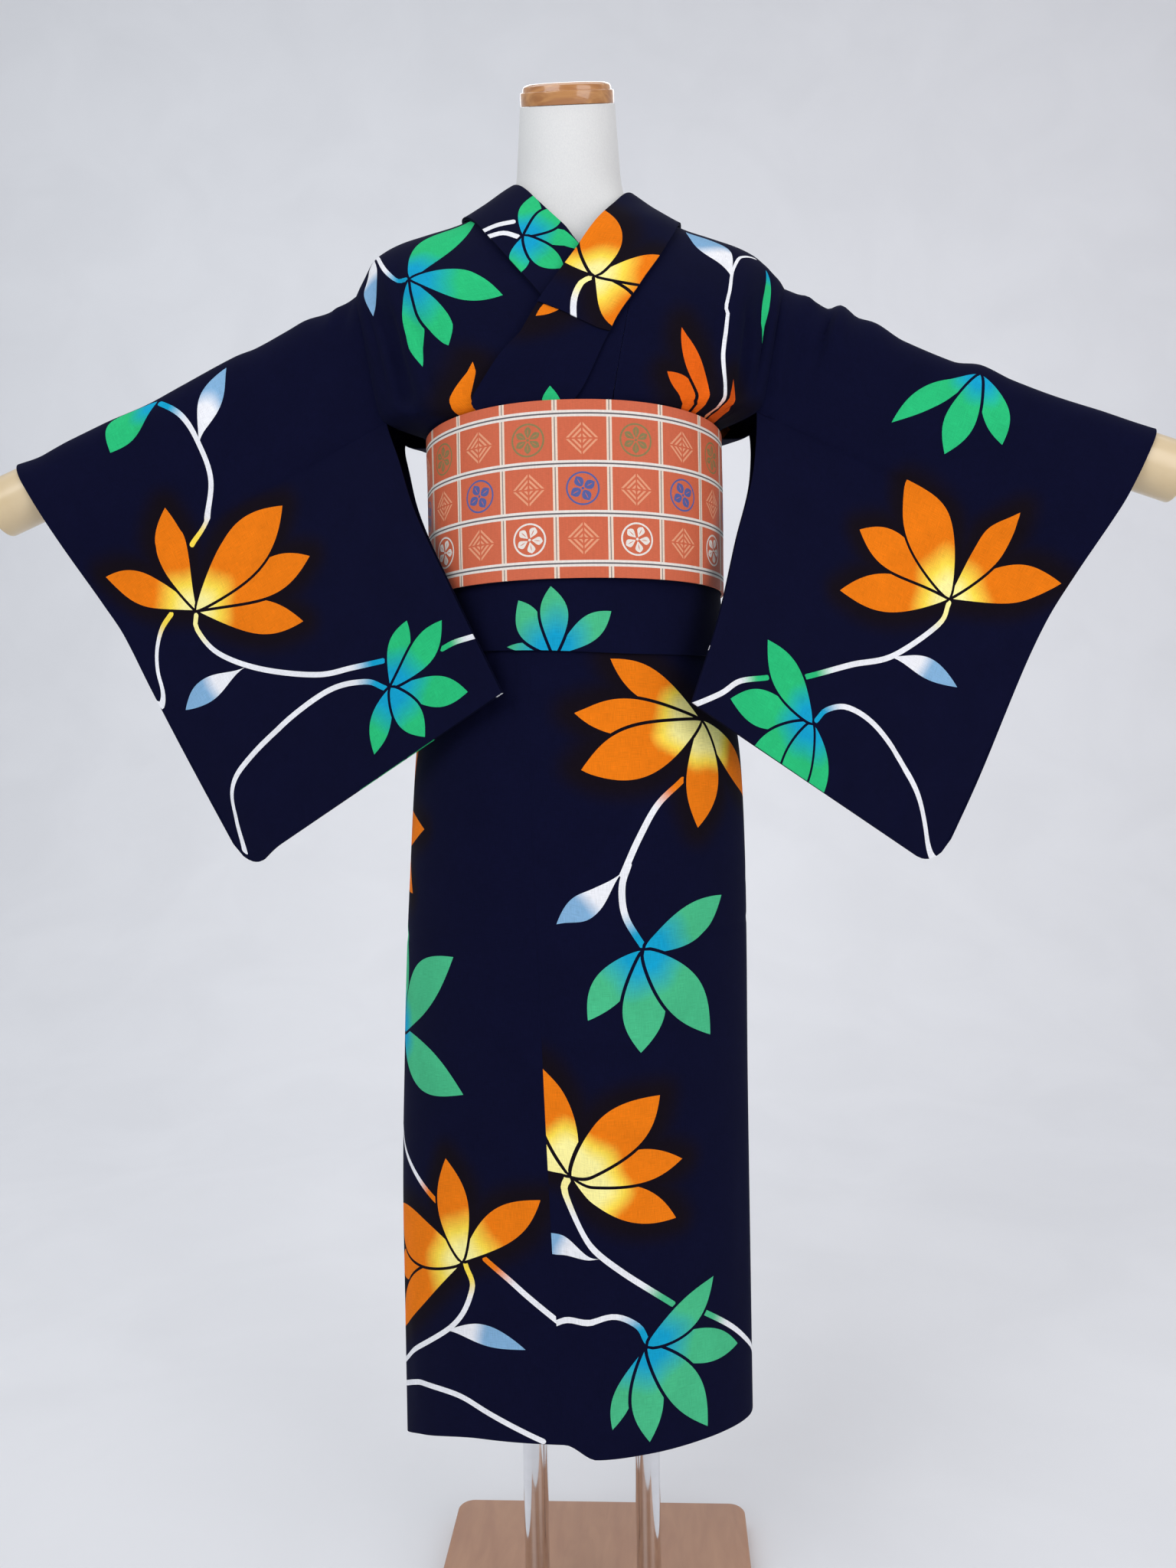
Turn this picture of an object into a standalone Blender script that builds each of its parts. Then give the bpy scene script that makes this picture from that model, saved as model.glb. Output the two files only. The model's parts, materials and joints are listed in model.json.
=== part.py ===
"""A cotton yukata robe with its sash, worn left over right on a limbless dress form stand.

Metres, +Z up, the floor at z = 0, the robe's front towards -Y. Left and right are as seen from
the front. Each cloth piece is a flat grid, draped by a formula and given its wall outwards.
"""

import math

import bmesh
import bpy
import numpy as np

for old in list(bpy.data.objects):
    bpy.data.objects.remove(old)

# Cloth, and how its pieces are stacked.
CLOTH = 0.0012  # wall of one cotton layer
LAYER = 0.0024  # from the face of one layer to the face of the next
SEAM = 0.0003  # gap between two pieces sewn edge to edge
COLLAR_WALL = 0.0016
TUCK_WALL = 0.0024  # the waist tuck is cloth folded double
SASH_WALL = 0.0022
OVER_TWO_COLLARS = 0.0064  # lift of the right front where it crosses the left collar
OVER_FRONT = 0.0026  # its lift lower down, where only the left front lies below it

# The robe's levels.
HIP_Z = 1.280  # rows above run over the shoulder, rows below are level
WAIST_Z = 1.100  # the upper pieces end here, under the sash
SKIRT_TOP_Z = 1.094
TUCK_LOW_Z = 0.996
SASH_LOW_Z = 1.054
SASH_HIGH_Z = 1.212
SHOULDER_HALF = 0.220
SHOULDER_TILT = 0.058  # the left shoulder is higher by this, for each metre across
SECTION_POWER = 2.3  # squareness of the chest's section, 2 being an ellipse
ARMHOLE_SIDE = 0.955  # sine of the angle round the chest at which the armhole lies
SIDE_EDGE = 0.9995  # and of the open side below it
ARMHOLE_DROP = 0.163  # cloth from the shoulder's fold to the end of the armhole

# The sleeves.
SLEEVE_DROP = 0.495  # cloth from the fold over the arm to the bottom seam
SLEEVE_CORNER = 0.034  # radius of the round outer bottom corner
CUFF_OPENING = 0.215
SLEEVE_SET = CLOTH + 2 * SEAM  # the sleeve starts this far outside the armhole's edge
PLY_HALF = 0.0008  # half the gap between the plies where they are sewn together
SEWN_LOW_Z = 1.2245  # below this the sleeve's edge leaves the chest

# The dress form and its stand.
BOARD_WIDTH = 0.333
BOARD_DEPTH = 0.364
BOARD_HEIGHT = 0.020
BOARD_CORNER = 0.018
POST_RADIUS = 0.0127
POST_X = 0.0575
TORSO_LOW_Z = 0.800
NECK_TOP_Z = 1.541
NECK_STRAIGHT_Z = 1.460  # the neck leans forward above this, to its slanted top
NECK_SLANT = math.radians(25.5)
CAP_RADIUS = 0.0462
CAP_HEIGHT = 0.0195
BAR_RADIUS = 0.0290
BAR_START = {-1: 0.16875, 1: 0.16690}  # how far out each bar starts, at the torso's shoulder
BAR_END_X = 0.592
BAR_CLEAR = 0.0010  # the sleeve's fold rests this close over the bar
FIT = 0.0004  # gap between the form's own pieces

NAVY = (0.006, 0.008, 0.022)
TERRACOTTA = (0.61, 0.16, 0.07)
FORM_WHITE = (0.80, 0.79, 0.77)
BAR_CREAM = (0.78, 0.66, 0.45)
CAP_WOOD = (0.50, 0.22, 0.06)
BOARD_TAN = (0.42, 0.24, 0.13)
CHROME = (0.75, 0.75, 0.76)


class Table:
    """Rows of sizes under named columns, read between the rows on a smooth curve."""

    def __init__(self, columns, *rows):
        self.names = columns.split()
        self.rows = np.array(rows, float)

    def read(self, column, at):
        key = self.rows[:, 0]
        value = self.rows[:, self.names.index(column)]
        at = np.clip(at, key[0], key[-1])
        slope = np.diff(value) / np.diff(key)
        before, after = slope[:-1], slope[1:]
        same = before * after > 0
        total = np.where(same, before + after, 1)
        tangent = np.zeros(len(key))
        tangent[0], tangent[-1] = slope[0], slope[-1]
        tangent[1:-1] = np.where(same, 2 * before * after / total, 0)
        row = np.clip(np.searchsorted(key, at) - 1, 0, len(key) - 2)
        span = key[row + 1] - key[row]
        t = (at - key[row]) / span
        start = value[row] * (1 + 2 * t) * (1 - t) ** 2 + tangent[row] * span * t * (1 - t) ** 2
        end = value[row + 1] * t * t * (3 - 2 * t) + tangent[row + 1] * span * t * t * (t - 1)
        return start + end


def ease(low, high, at):
    """0 below low, 1 above high, and smooth between."""
    t = np.clip((at - low) / (high - low), 0, 1)
    return t * t * (3 - 2 * t)


def bump(at, middle, width):
    """1 at the middle of a fold, falling away softly on both sides."""
    return np.exp(-(((at - middle) / width) ** 2))


# %% The upper body: level sections, and the line of the shoulders that they hang from.
CHEST = Table(
    "z half_width front back",
    (1.0950, 0.1355, 0.1260, 0.1260),
    (1.2050, 0.1385, 0.1260, 0.1250),
    (1.2135, 0.1400, 0.1260, 0.1250),
    (1.2165, 0.1560, 0.1258, 0.1250),
    (1.2210, 0.1800, 0.1254, 0.1248),
    (1.2290, 0.1915, 0.1245, 0.1240),
    (1.2500, 0.1975, 0.1220, 0.1210),
    (1.2800, 0.2035, 0.1165, 0.1170),
    (1.3200, 0.2110, 0.1085, 0.1120),
    (1.3620, 0.2200, 0.0990, 0.1070),
    (1.4200, 0.2200, 0.0940, 0.1030),
    (1.4800, 0.2200, 0.0920, 0.1000),
)
SHOULDER = Table(
    "x ridge fall",
    (0.000, 1.4740, 0.200),
    (0.055, 1.4490, 0.165),
    (0.080, 1.4345, 0.142),
    (0.105, 1.4215, 0.120),
    (0.140, 1.4080, 0.104),
    (0.166, 1.3970, 0.090),
    (0.190, 1.3815, 0.065),
    (0.202, 1.3730, 0.052),
    (0.210, 1.3655, 0.044),
    (0.220, 1.3520, 0.044),
)
# Troughs down the chest beside each armhole.
TROUGHS = Table(
    "order shoulder top_side low_side width deep",
    (0, -1, 0.86, 0.78, 0.050, 0.012),
    (1, -1, 0.74, 0.62, 0.035, 0.005),
    (2, 1, 0.87, 0.84, 0.055, 0.014),
    (3, 1, 0.70, 0.66, 0.040, 0.005),
)


def shoulder_line(side):
    x = SHOULDER_HALF * np.abs(side)
    tilt = -SHOULDER_TILT * SHOULDER_HALF * side * (1 - ease(0.186, 0.209, x))
    return SHOULDER.read("ridge", x) + tilt


def chest(side, row):
    """A point of the upper body. side is the sine of the angle round it. row is 0 on the shoulder
    line, below it at the front and above it at the back, and 1 at the level HIP_Z."""
    top = shoulder_line(side)
    fall = SHOULDER.read("fall", SHOULDER_HALF * np.abs(side))
    turns = np.abs(row)
    z = np.where(turns < 1, top - (top - HIP_Z) * turns**2, HIP_Z - 0.2 * (turns - 1))
    lean = np.minimum((top - z) / fall, 1)
    out = np.sqrt(np.maximum(1 - (1 - lean) ** 2, 0))
    flank = np.maximum(1 - np.abs(side) ** SECTION_POWER, 0) ** (1 / SECTION_POWER)
    depth = np.where(row < 0, CHEST.read("front", z), CHEST.read("back", z)) * flank * out
    for _, shoulder, top_side, low_side, width, deep in TROUGHS.rows:
        middle = low_side + (top_side - low_side) * ease(1.22, 1.38, z)
        reach = ease(1.218, 1.245, z) * (1 - ease(1.345, 1.385, z))
        trough = deep * bump(side * shoulder, middle, width) * reach
        depth = depth - np.where(row < 0, trough, 0.6 * trough)
    x = CHEST.read("half_width", z) * side
    return np.stack([x, np.sign(row) * depth, z], -1)


def chest_side(x, z):
    return x / CHEST.read("half_width", z)


def chest_row(side, z):
    """The row, of the front or back, that passes through the height z."""
    top = shoulder_line(side)
    above = np.sqrt(np.clip((top - z) / (top - HIP_Z), 0, 1))
    return np.where(z > HIP_Z, above, 1 + (HIP_Z - z) / 0.2)


def lifted(surface, across, along, lift):
    """The surface's points moved outwards by lift, along its own normal."""
    step = 1e-3
    run = surface(across + step, along) - surface(across - step, along)
    rise = surface(across, along + step) - surface(across, along - step)
    normal = np.cross(run, rise)
    normal /= np.maximum(np.linalg.norm(normal, axis=-1, keepdims=True), 1e-12)
    return surface(across, along) + normal * np.asarray(lift)[..., None]


# %% Making a piece.
robe = bpy.data.collections.new("yukata_on_dress_form")
bpy.context.scene.collection.children.link(robe)


def material(name, color, roughness=0.9, metallic=0.0):
    made = bpy.data.materials.new(name)
    made.use_nodes = True
    shader = made.node_tree.nodes["Principled BSDF"]
    shader.inputs["Base Color"].default_value = (*color, 1)
    shader.inputs["Roughness"].default_value = roughness
    shader.inputs["Metallic"].default_value = metallic
    return made


def keep(name, mesh, finish):
    mesh.materials.append(finish)
    piece = bpy.data.objects.new(name, mesh)
    robe.objects.link(piece)
    return piece


def sheet(name, points, wall, color=NAVY):
    """A cloth piece: a grid laid on points, rows by columns, with its wall outwards."""
    rows, columns = points.shape[:2]
    work = bmesh.new()
    bmesh.ops.create_grid(work, x_segments=columns - 1, y_segments=rows - 1, size=1)
    for vertex in work.verts:
        column = round((vertex.co.x + 1) / 2 * (columns - 1))
        row = round((vertex.co.y + 1) / 2 * (rows - 1))
        vertex.co = points[row, column]
    mesh = bpy.data.meshes.new(name)
    work.to_mesh(mesh)
    work.free()
    piece = keep(name, mesh, material(name, color))
    solid = piece.modifiers.new("wall", "SOLIDIFY")
    solid.thickness = wall
    solid.offset = 1
    return piece


def loft(name, rings, finish):
    """A closed solid through level rings, each an array of points."""
    work = bmesh.new()
    made = [[work.verts.new(point) for point in ring] for ring in rings]
    count = len(made[0])
    for low, high in zip(made, made[1:]):
        for i in range(count):
            j = (i + 1) % count
            work.faces.new((low[i], low[j], high[j], high[i]))
    work.faces.new(made[0][::-1])
    work.faces.new(made[-1])
    mesh = bpy.data.meshes.new(name)
    work.to_mesh(mesh)
    work.free()
    return keep(name, mesh, finish)


def ring(half_width, half_depth, z, power=2.0, count=32):
    angle = np.arange(count) * 2 * math.pi / count
    c, s = np.cos(angle), np.sin(angle)
    x = half_width * np.sign(c) * np.abs(c) ** (2 / power)
    y = half_depth * np.sign(s) * np.abs(s) ** (2 / power)
    return np.stack([x, y, np.full(count, z)], -1)


# %% The collar's two edges, from its right end up round the neck to its left end. face is -1 at
# the front, 0 on the shoulder line and 1 at the back. back and up stand its fold off the neck.
COLLAR = Table(
    "order face outer_x outer_z inner_x inner_z back up",
    (0, -1, -0.0120, 1.1900, -0.0980, 1.1900, 0, 0),
    (1, -1, 0.0110, 1.2200, -0.0830, 1.2210, 0, 0),
    (2, -1, 0.0285, 1.2510, -0.0530, 1.2640, 0, 0),
    (3, -1, 0.0420, 1.2790, -0.0210, 1.3095, 0, 0),
    (4, -1, 0.0680, 1.3210, 0.0025, 1.3455, 0, 0),
    (5, -1, 0.0880, 1.3560, 0.0205, 1.3765, 0, 0),
    (6, -1, 0.1030, 1.3930, 0.0465, 1.4185, 0, 0),
    (7, 0, 0.1080, 1.4150, 0.0640, 1.4475, 0, 0.001),
    (8, 1, 0.0920, 1.3850, 0.0510, 1.4370, 0.009, 0.003),
    (9, 1, 0.0000, 1.3750, 0.0000, 1.4430, 0.020, 0.002),
    (10, 1, -0.0920, 1.3930, -0.0490, 1.4430, 0.009, 0.004),
    (11, 0, -0.1050, 1.4300, -0.0575, 1.4560, 0, 0.003),
    (12, -1, -0.0750, 1.3900, -0.0270, 1.4225, 0, 0),
    (13, -1, -0.0460, 1.3510, 0.0025, 1.3865, 0, 0),
    (14, -1, -0.0260, 1.3250, 0.0215, 1.3595, 0, 0),
    (15, -1, -0.0050, 1.2960, 0.0460, 1.3340, 0, 0),
    (16, -1, 0.0100, 1.2750, 0.0620, 1.3120, 0, 0),
)
SASH_STATIONS = (0, 0.4, 0.7, 0.82, 0.91, 1.04, 1.26, 1.6, 2, 2.5)
RIGHT_STATIONS = np.arange(3, 6.3, 1 / 3)
SHOULDER_STATIONS = (6.4, 6.6, 6.8, 7, 7.2, 7.4, 7.6, 7.8)
BACK_STATIONS = (8, 8.4, 8.8, 9.2, 9.6, 10)
LEFT_STATIONS = (10.2, 10.4, 10.6, 10.8, 11, 11.2, 11.4, 11.6, 11.8, *np.arange(12, 16.01, 1 / 3))
COLLAR_STATIONS = np.array(
    [*SASH_STATIONS, *RIGHT_STATIONS, *SHOULDER_STATIONS, *BACK_STATIONS, *LEFT_STATIONS]
)
OVER_COLLAR = COLLAR_STATIONS[(COLLAR_STATIONS > 2.9) & (COLLAR_STATIONS < 14.8)]
COLLAR_LIFT = CLOTH + 0.0011


def collar_rows(edge):
    """side and row on the chest of each row of one edge of the collar."""
    read = dict(zip(COLLAR.names, COLLAR.rows.T))
    face, x, z = read["face"], read[edge + "_x"], read[edge + "_z"]
    side = chest_side(x, z)
    row = face * chest_row(side, z)
    return Table("order side row", *zip(read["order"], side, row))


OUTER_EDGE = collar_rows("outer")
INNER_EDGE = collar_rows("inner")


def front_lift(side, row, right):
    """The lift of the right or left front above the chest's own surface."""
    x, _, z = np.moveaxis(chest(side, row), -1, 0)
    over = OVER_FRONT + (OVER_TWO_COLLARS - OVER_FRONT) * ease(1.225, 1.262, z)
    across = 1 - ease(0.070, 0.120, x)
    return np.where(row < 0, over * across * (1 - ease(1.385, 1.425, z)), 0) * right


def collar_points(stations, widths, lift):
    """Points of the collar at some stations of its rows. widths run from its fold to its seam."""
    order, width = np.meshgrid(stations, widths, indexing="ij")
    inner_side, outer_side = INNER_EDGE.read("side", order), OUTER_EDGE.read("side", order)
    inner_row, outer_row = INNER_EDGE.read("row", order), OUTER_EDGE.read("row", order)
    side = inner_side + (outer_side - inner_side) * width
    row = inner_row + (outer_row - inner_row) * width
    under = front_lift(side, row, order < 9)
    points = lifted(chest, side, row, under + lift)
    points[..., 1] += COLLAR.read("back", order) * (1 - width)
    points[..., 2] += COLLAR.read("up", order) * (1 - width) ** 2
    return points


COLLAR_WIDTHS = (0, 0.06, 0.28, 0.50, 0.72, 0.94, 1)
sheet("collar", collar_points(COLLAR_STATIONS, COLLAR_WIDTHS, COLLAR_LIFT), COLLAR_WALL)
over_lift = COLLAR_LIFT + COLLAR_WALL + 0.0005
sheet("over_collar", collar_points(OVER_COLLAR, COLLAR_WIDTHS, over_lift), CLOTH)

# %% The upper body: each half is one cloth from the front waist over the shoulder to the back.
INSET = 0.060  # how far under the collar a front's edge runs, as a part of the half width
LEVELS = (1.10, 1.15, 1.20, 1.2135, 1.2165, 1.221, 1.229, 1.25, 1.28)
OVER_SHOULDER = (0.94, 0.88, 0.855, 0.76, 0.65, 0.54, 0.43, 0.32, 0.21, 0.11, 0.04)
FRONT_ROWS = np.array([*(-chest_row(0, np.array(LEVELS))), *(-np.array(OVER_SHOULDER)), 0])
BACK_ROWS = np.delete(-FRONT_ROWS[-2::-1], [8, 10, -2])
BODY_ROWS = np.concatenate([FRONT_ROWS, BACK_ROWS])
BODY_COLUMNS = np.array((0, 0.08, 0.19, 0.32, 0.46, 0.60, 0.73, 0.84, 0.93, 1))
OKUMI_SEAM = Table("z x", (1.095, 0.020), (1.218, 0.043), (1.318, 0.0615), (1.330, 0.0640))
# Edge of the neck hole at the back, and of the hidden edge of the left front.
NECK_ROW = 0.62  # the back's centre seam starts at this row
NECK_SIDE = Table("row side", (0.00, 0.42), (0.30, 0.385), (0.60, 0.36))
LEFT_EDGE = Table("z x", (1.095, 0.034), (1.250, 0.034), (1.290, 0.012))


SEAM_ROW = 0.87  # above this row the right front's edge lies under the collar


def front_edge(row, right):
    """The side at which a front's inner edge lies on a row."""
    if abs(row) < (SEAM_ROW if right else 1.01):
        path = OUTER_EDGE.rows[4:8] if right else OUTER_EDGE.rows[15:10:-1]
        under = Table("row side", *zip(path[:, 2], path[:, 1]))
        return under.read("side", row) + (-INSET if right else INSET)
    side = 0.2
    for _ in range(12):
        z = chest(np.array(side), np.array(row))[2]
        x = OKUMI_SEAM.read("x", z) + SEAM / 2 if right else LEFT_EDGE.read("x", z)
        side = chest_side(x, z)
    return side


def body_edges(right):
    inner = np.empty(len(BODY_ROWS))
    for i, row in enumerate(BODY_ROWS):
        if row <= 0:
            inner[i] = front_edge(row, right)
        elif row < NECK_ROW:
            inner[i] = NECK_SIDE.read("side", row) * (1 if right else -1)
        else:
            inner[i] = SEAM / 2 / SHOULDER_HALF * (1 if right else -1)
    level = HIP_Z - 0.2 * (np.abs(BODY_ROWS) - 1)
    low = 1 - ease(1.2140, 1.2215, level)
    outer = ARMHOLE_SIDE + (SIDE_EDGE - ARMHOLE_SIDE) * low
    return (inner, outer) if right else (-outer, inner)


def body_half(name, right):
    start, end = body_edges(right)
    columns = BODY_COLUMNS if right else 1 - BODY_COLUMNS[::-1]
    angle_start, angle_end = np.arcsin(start)[:, None], np.arcsin(end)[:, None]
    side = np.sin(angle_start + (angle_end - angle_start) * columns)
    row = np.repeat(BODY_ROWS[:, None], len(columns), 1)
    sheet(name, lifted(chest, side, row, front_lift(side, row, right)), CLOTH)


body_half("body_left_upper", False)
body_half("body_right_upper", True)

# %% The right overlap panel, between the right front and the collar.
OKUMI_LEVELS = np.array((1.10, 1.15, 1.20, 1.2135, 1.2165, 1.221, 1.229, 1.25, 1.28, 1.30, 1.3155))
OKUMI_EDGE = Table("z x", (1.095, -0.060), (1.190, -0.050), (1.220, -0.020), (1.318, 0.046))
okumi_start = chest_side(OKUMI_EDGE.read("x", OKUMI_LEVELS), OKUMI_LEVELS)[:, None]
okumi_end = chest_side(OKUMI_SEAM.read("x", OKUMI_LEVELS) - SEAM / 2, OKUMI_LEVELS)[:, None]
okumi_side = okumi_start + (okumi_end - okumi_start) * np.linspace(0, 1, 5)
okumi_row = -chest_row(okumi_side, OKUMI_LEVELS[:, None])
okumi_lift = front_lift(okumi_side, okumi_row, True)
sheet("okumi_right_upper", lifted(chest, okumi_side, okumi_row, okumi_lift), CLOTH)

# %% The sleeves: each is one cloth folded over the arm bar, sewn to the armhole down to
# ARMHOLE_DROP, then free along its inner edge. The free edge is given for the front and back ply.
LEFT_FREE_EDGE = Table(
    "cloth x front_y back_y z",
    (0.163, -0.1800, -0.0430, 0.0400, 1.2245),
    (0.215, -0.1640, -0.0640, -0.0150, 1.1860),
    (0.270, -0.1480, -0.0850, -0.0560, 1.1390),
    (0.360, -0.1110, -0.1190, -0.1080, 1.0620),
    (0.495, -0.0590, -0.1460, -0.1400, 0.9570),
)
RIGHT_FREE_EDGE = Table(
    "cloth x front_y back_y z",
    (0.163, 0.1800, -0.0430, 0.0400, 1.2245),
    (0.225, 0.1740, -0.0580, -0.0080, 1.1680),
    (0.305, 0.1560, -0.0840, -0.0600, 1.1000),
    (0.390, 0.1370, -0.1130, -0.1020, 1.0250),
    (0.495, 0.1100, -0.1460, -0.1400, 0.9450),
)
# The cuff end: where the fold is, the slope of the bar, and how the outer edge runs below it.
CUFFS = Table(
    "shoulder x z slope corner_x corner_z dent",
    (-1, -0.572, 1.2020, 23.96, -0.351, 0.7840, 0.002),
    (1, 0.571, 1.2060, 22.90, 0.354, 0.7790, 0.014),
)
FRONT_CLOTH = (0, 0.011, 0.023, 0.034, 0.045, 0.060, 0.085, 0.110, 0.1370, 0.1583, 0.163)
FREE_CLOTH = (0.205, 0.250, 0.300, 0.355, 0.410, 0.455, 0.482, 0.495)
SLEEVE_COLUMNS = np.array((0, 0.07, 0.18, 0.32, 0.47, 0.62, 0.77, 0.88, 0.94, 0.98, 1))


def armhole_edge(shoulder, cloth, face):
    """The sleeve's inner edge: on the armhole, then free."""
    side = np.full(cloth.shape, shoulder * ARMHOLE_SIDE)
    top = shoulder_line(side)
    fall = SHOULDER.read("fall", SHOULDER_HALF * ARMHOLE_SIDE)
    over = math.pi / 2 * math.hypot(fall, 0.040) / math.sqrt(2)
    turn = np.minimum(cloth / over, 1) * math.pi / 2
    z = top - fall * (1 - np.cos(turn)) - np.maximum(cloth - over, 0)
    row = chest_row(side, np.maximum(z, SEWN_LOW_Z))
    sewn = chest(side, np.where(face < 0, -1, 1) * row)
    sewn[..., 0] += shoulder * SLEEVE_SET
    edge = LEFT_FREE_EDGE if shoulder < 0 else RIGHT_FREE_EDGE
    y = np.where(face < 0, edge.read("front_y", cloth), edge.read("back_y", cloth))
    free = np.stack([edge.read("x", cloth), y, edge.read("z", cloth)], -1)
    away = ease(ARMHOLE_DROP - 0.002, ARMHOLE_DROP + 0.030, cloth)[..., None]
    return sewn + (free - sewn) * away


def cuff_edge(shoulder, cloth, face):
    """The sleeve's outer edge: over the bar, open at the cuff, then sewn down to the corner."""
    row = CUFFS.rows[0 if shoulder < 0 else 1]
    _, x, z, slope, corner_x, corner_z, dent = row
    radius = BAR_RADIUS + BAR_CLEAR
    turn = np.minimum(cloth / radius, math.pi / 2)
    drop = radius * (1 - np.cos(turn)) + np.maximum(cloth - radius * math.pi / 2, 0)
    length = SLEEVE_DROP - radius * (math.pi / 2 - 1)
    dented = dent * bump(cloth, CUFF_OPENING, 0.11) * -shoulder
    half = (radius + 0.0012) * np.sin(turn) * (1 - ease(0.062, CUFF_OPENING, cloth))
    half = PLY_HALF + (1 - PLY_HALF / radius) * half
    along = drop / length
    return np.stack(
        [x + (corner_x - x) * along + dented, face * half, z + (corner_z - z) * along], -1
    )


def sleeve(name, shoulder):
    front = np.array((*FRONT_CLOTH, *FREE_CLOTH))
    cloth = np.concatenate([front[::-1], front[1:]])
    face = np.concatenate([-np.ones(len(front)), np.ones(len(front) - 1)])
    columns = SLEEVE_COLUMNS if shoulder > 0 else SLEEVE_COLUMNS[::-1]
    cloth, across = np.meshgrid(cloth, columns, indexing="ij")
    face = np.repeat(face[:, None], len(columns), 1)
    width = 0.385
    from_edge = np.clip((1 - across) * width, 0, SLEEVE_CORNER)
    short = SLEEVE_CORNER - np.sqrt(SLEEVE_CORNER**2 - (SLEEVE_CORNER - from_edge) ** 2)
    lower = ease(0.30, 1.0, cloth / SLEEVE_DROP)
    cloth = cloth - short * lower
    inner = armhole_edge(shoulder, cloth, face)
    outer = cuff_edge(shoulder, cloth, face)
    sheet(name, inner + (outer - inner) * across[..., None], CLOTH)


sleeve("sleeve_left", -1)
sleeve("sleeve_right", 1)

# %% The skirt: angles run from the right side (0) by the front (90) and the left (180) to the back.
SKIRT = Table(
    "z half_width half_depth middle_x",
    (0.200, 0.1700, 0.0860, -0.0115),
    (0.400, 0.1690, 0.1000, -0.0110),
    (0.577, 0.1665, 0.1150, -0.0090),
    (0.700, 0.1640, 0.1230, -0.0060),
    (0.800, 0.1610, 0.1280, -0.0030),
    (0.890, 0.1570, 0.1305, -0.0010),
    (0.950, 0.1500, 0.1300, 0.0000),
    (1.000, 0.1415, 0.1295, 0.0000),
    (1.080, 0.1360, 0.1280, 0.0000),
    (1.100, 0.1355, 0.1275, 0.0000),
)
SKIRT_HEIGHTS = np.array(
    (1, 0.95, 0.91, 0.885, 0.86, 0.825, 0.76, 0.66, 0.55, 0.43, 0.32, 0.21, 0.10, 0)
)
OKUMI_SEAM_ANGLE = Table("z angle", (0.200, 93.0), (0.610, 98.0), (0.910, 103.0), (1.100, 104.0))
HEMS = Table(
    "angle over under",
    (0, 0.229, 0.236),
    (45, 0.226, 0.246),
    (83, 0.224, 0.250),
    (93, 0.236, 0.250),
    (120, 0.235, 0.250),
    (150, 0.222, 0.240),
    (186, 0.205, 0.214),
    (270, 0.214, 0.214),
    (360, 0.229, 0.229),
)
STEP_ANGLE = 9.0


def skirt(angle, z):
    turn = np.radians(angle)
    x = SKIRT.read("middle_x", z) + SKIRT.read("half_width", z) * np.cos(turn)
    return np.stack([x, -SKIRT.read("half_depth", z) * np.sin(turn), z], -1)


def skirt_panel(name, start, end, layer, hem):
    """A panel between two edges, each an angle or a column of angles for every height."""
    high = SKIRT_HEIGHTS[:, None]
    start, end = np.broadcast_to(start, (len(high), 1)), np.broadcast_to(end, (len(high), 1))
    count = math.ceil(abs(end - start).max() / STEP_ANGLE)
    angle = start + (end - start) * np.linspace(0, 1, count + 1)
    low = HEMS.read(hem, angle)
    z = low + (SKIRT_TOP_Z - low) * high
    lift = LAYER * layer(angle) if callable(layer) else np.full(z.shape, LAYER * layer)
    sheet(name, skirt_lifted(angle, z, lift), CLOTH)


def skirt_lifted(angle, z, lift):
    point = skirt(angle, z)
    turn = np.radians(angle)
    out = np.stack(
        [
            np.cos(turn) * SKIRT.read("half_depth", z),
            -np.sin(turn) * SKIRT.read("half_width", z),
            np.zeros(z.shape),
        ],
        -1,
    )
    return point + out / np.linalg.norm(out, axis=-1, keepdims=True) * np.asarray(lift)[..., None]


EDGE = 0.06  # degrees, half of a sewn seam's gap
seam_angle = OKUMI_SEAM_ANGLE.read("angle", 0.225 + (SKIRT_TOP_Z - 0.225) * SKIRT_HEIGHTS)[:, None]
skirt_panel("body_right_skirt_front", EDGE, seam_angle - EDGE, lambda a: ease(2, 17, a), "over")
skirt_panel("okumi_right_skirt", seam_angle + EDGE, 186, 1, "over")
skirt_panel("body_left_skirt_front", 82 + EDGE, 180 - EDGE, 0, "under")
skirt_panel("okumi_left_skirt", 20, 82 - EDGE, 0, "under")
skirt_panel("body_left_skirt_back", 180 + EDGE, 270 - EDGE, 0, "under")
skirt_panel("body_right_skirt_back", 270 + EDGE, 360 - EDGE, 0, "under")

# %% The waist tuck: the robe's spare length folded over below the sash.
TUCK_TOP_Z = 1.0975
TUCK_LIFT = LAYER + CLOTH + 0.0008
TUCK_HEIGHTS = np.array((1, 0.55, 0.2, 0.05, 0))
TUCK_LOW = Table("angle z", (0, 0.9910), (60, 0.9905), (105, 0.9955), (186, 0.9995), (360, 0.9910))


def tuck(name, start, end):
    count = math.ceil((end - start) / STEP_ANGLE)
    angle, high = np.meshgrid(np.linspace(start, end, count + 1), TUCK_HEIGHTS)
    low = TUCK_LOW.read("z", angle)
    z = low + (TUCK_TOP_Z - low) * high
    sheet(name, skirt_lifted(angle, z, np.full(z.shape, TUCK_LIFT)), TUCK_WALL)


tuck("waist_tuck_front", 0.15, 186)
tuck("waist_tuck_back", 186.3, 359.85)

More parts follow.
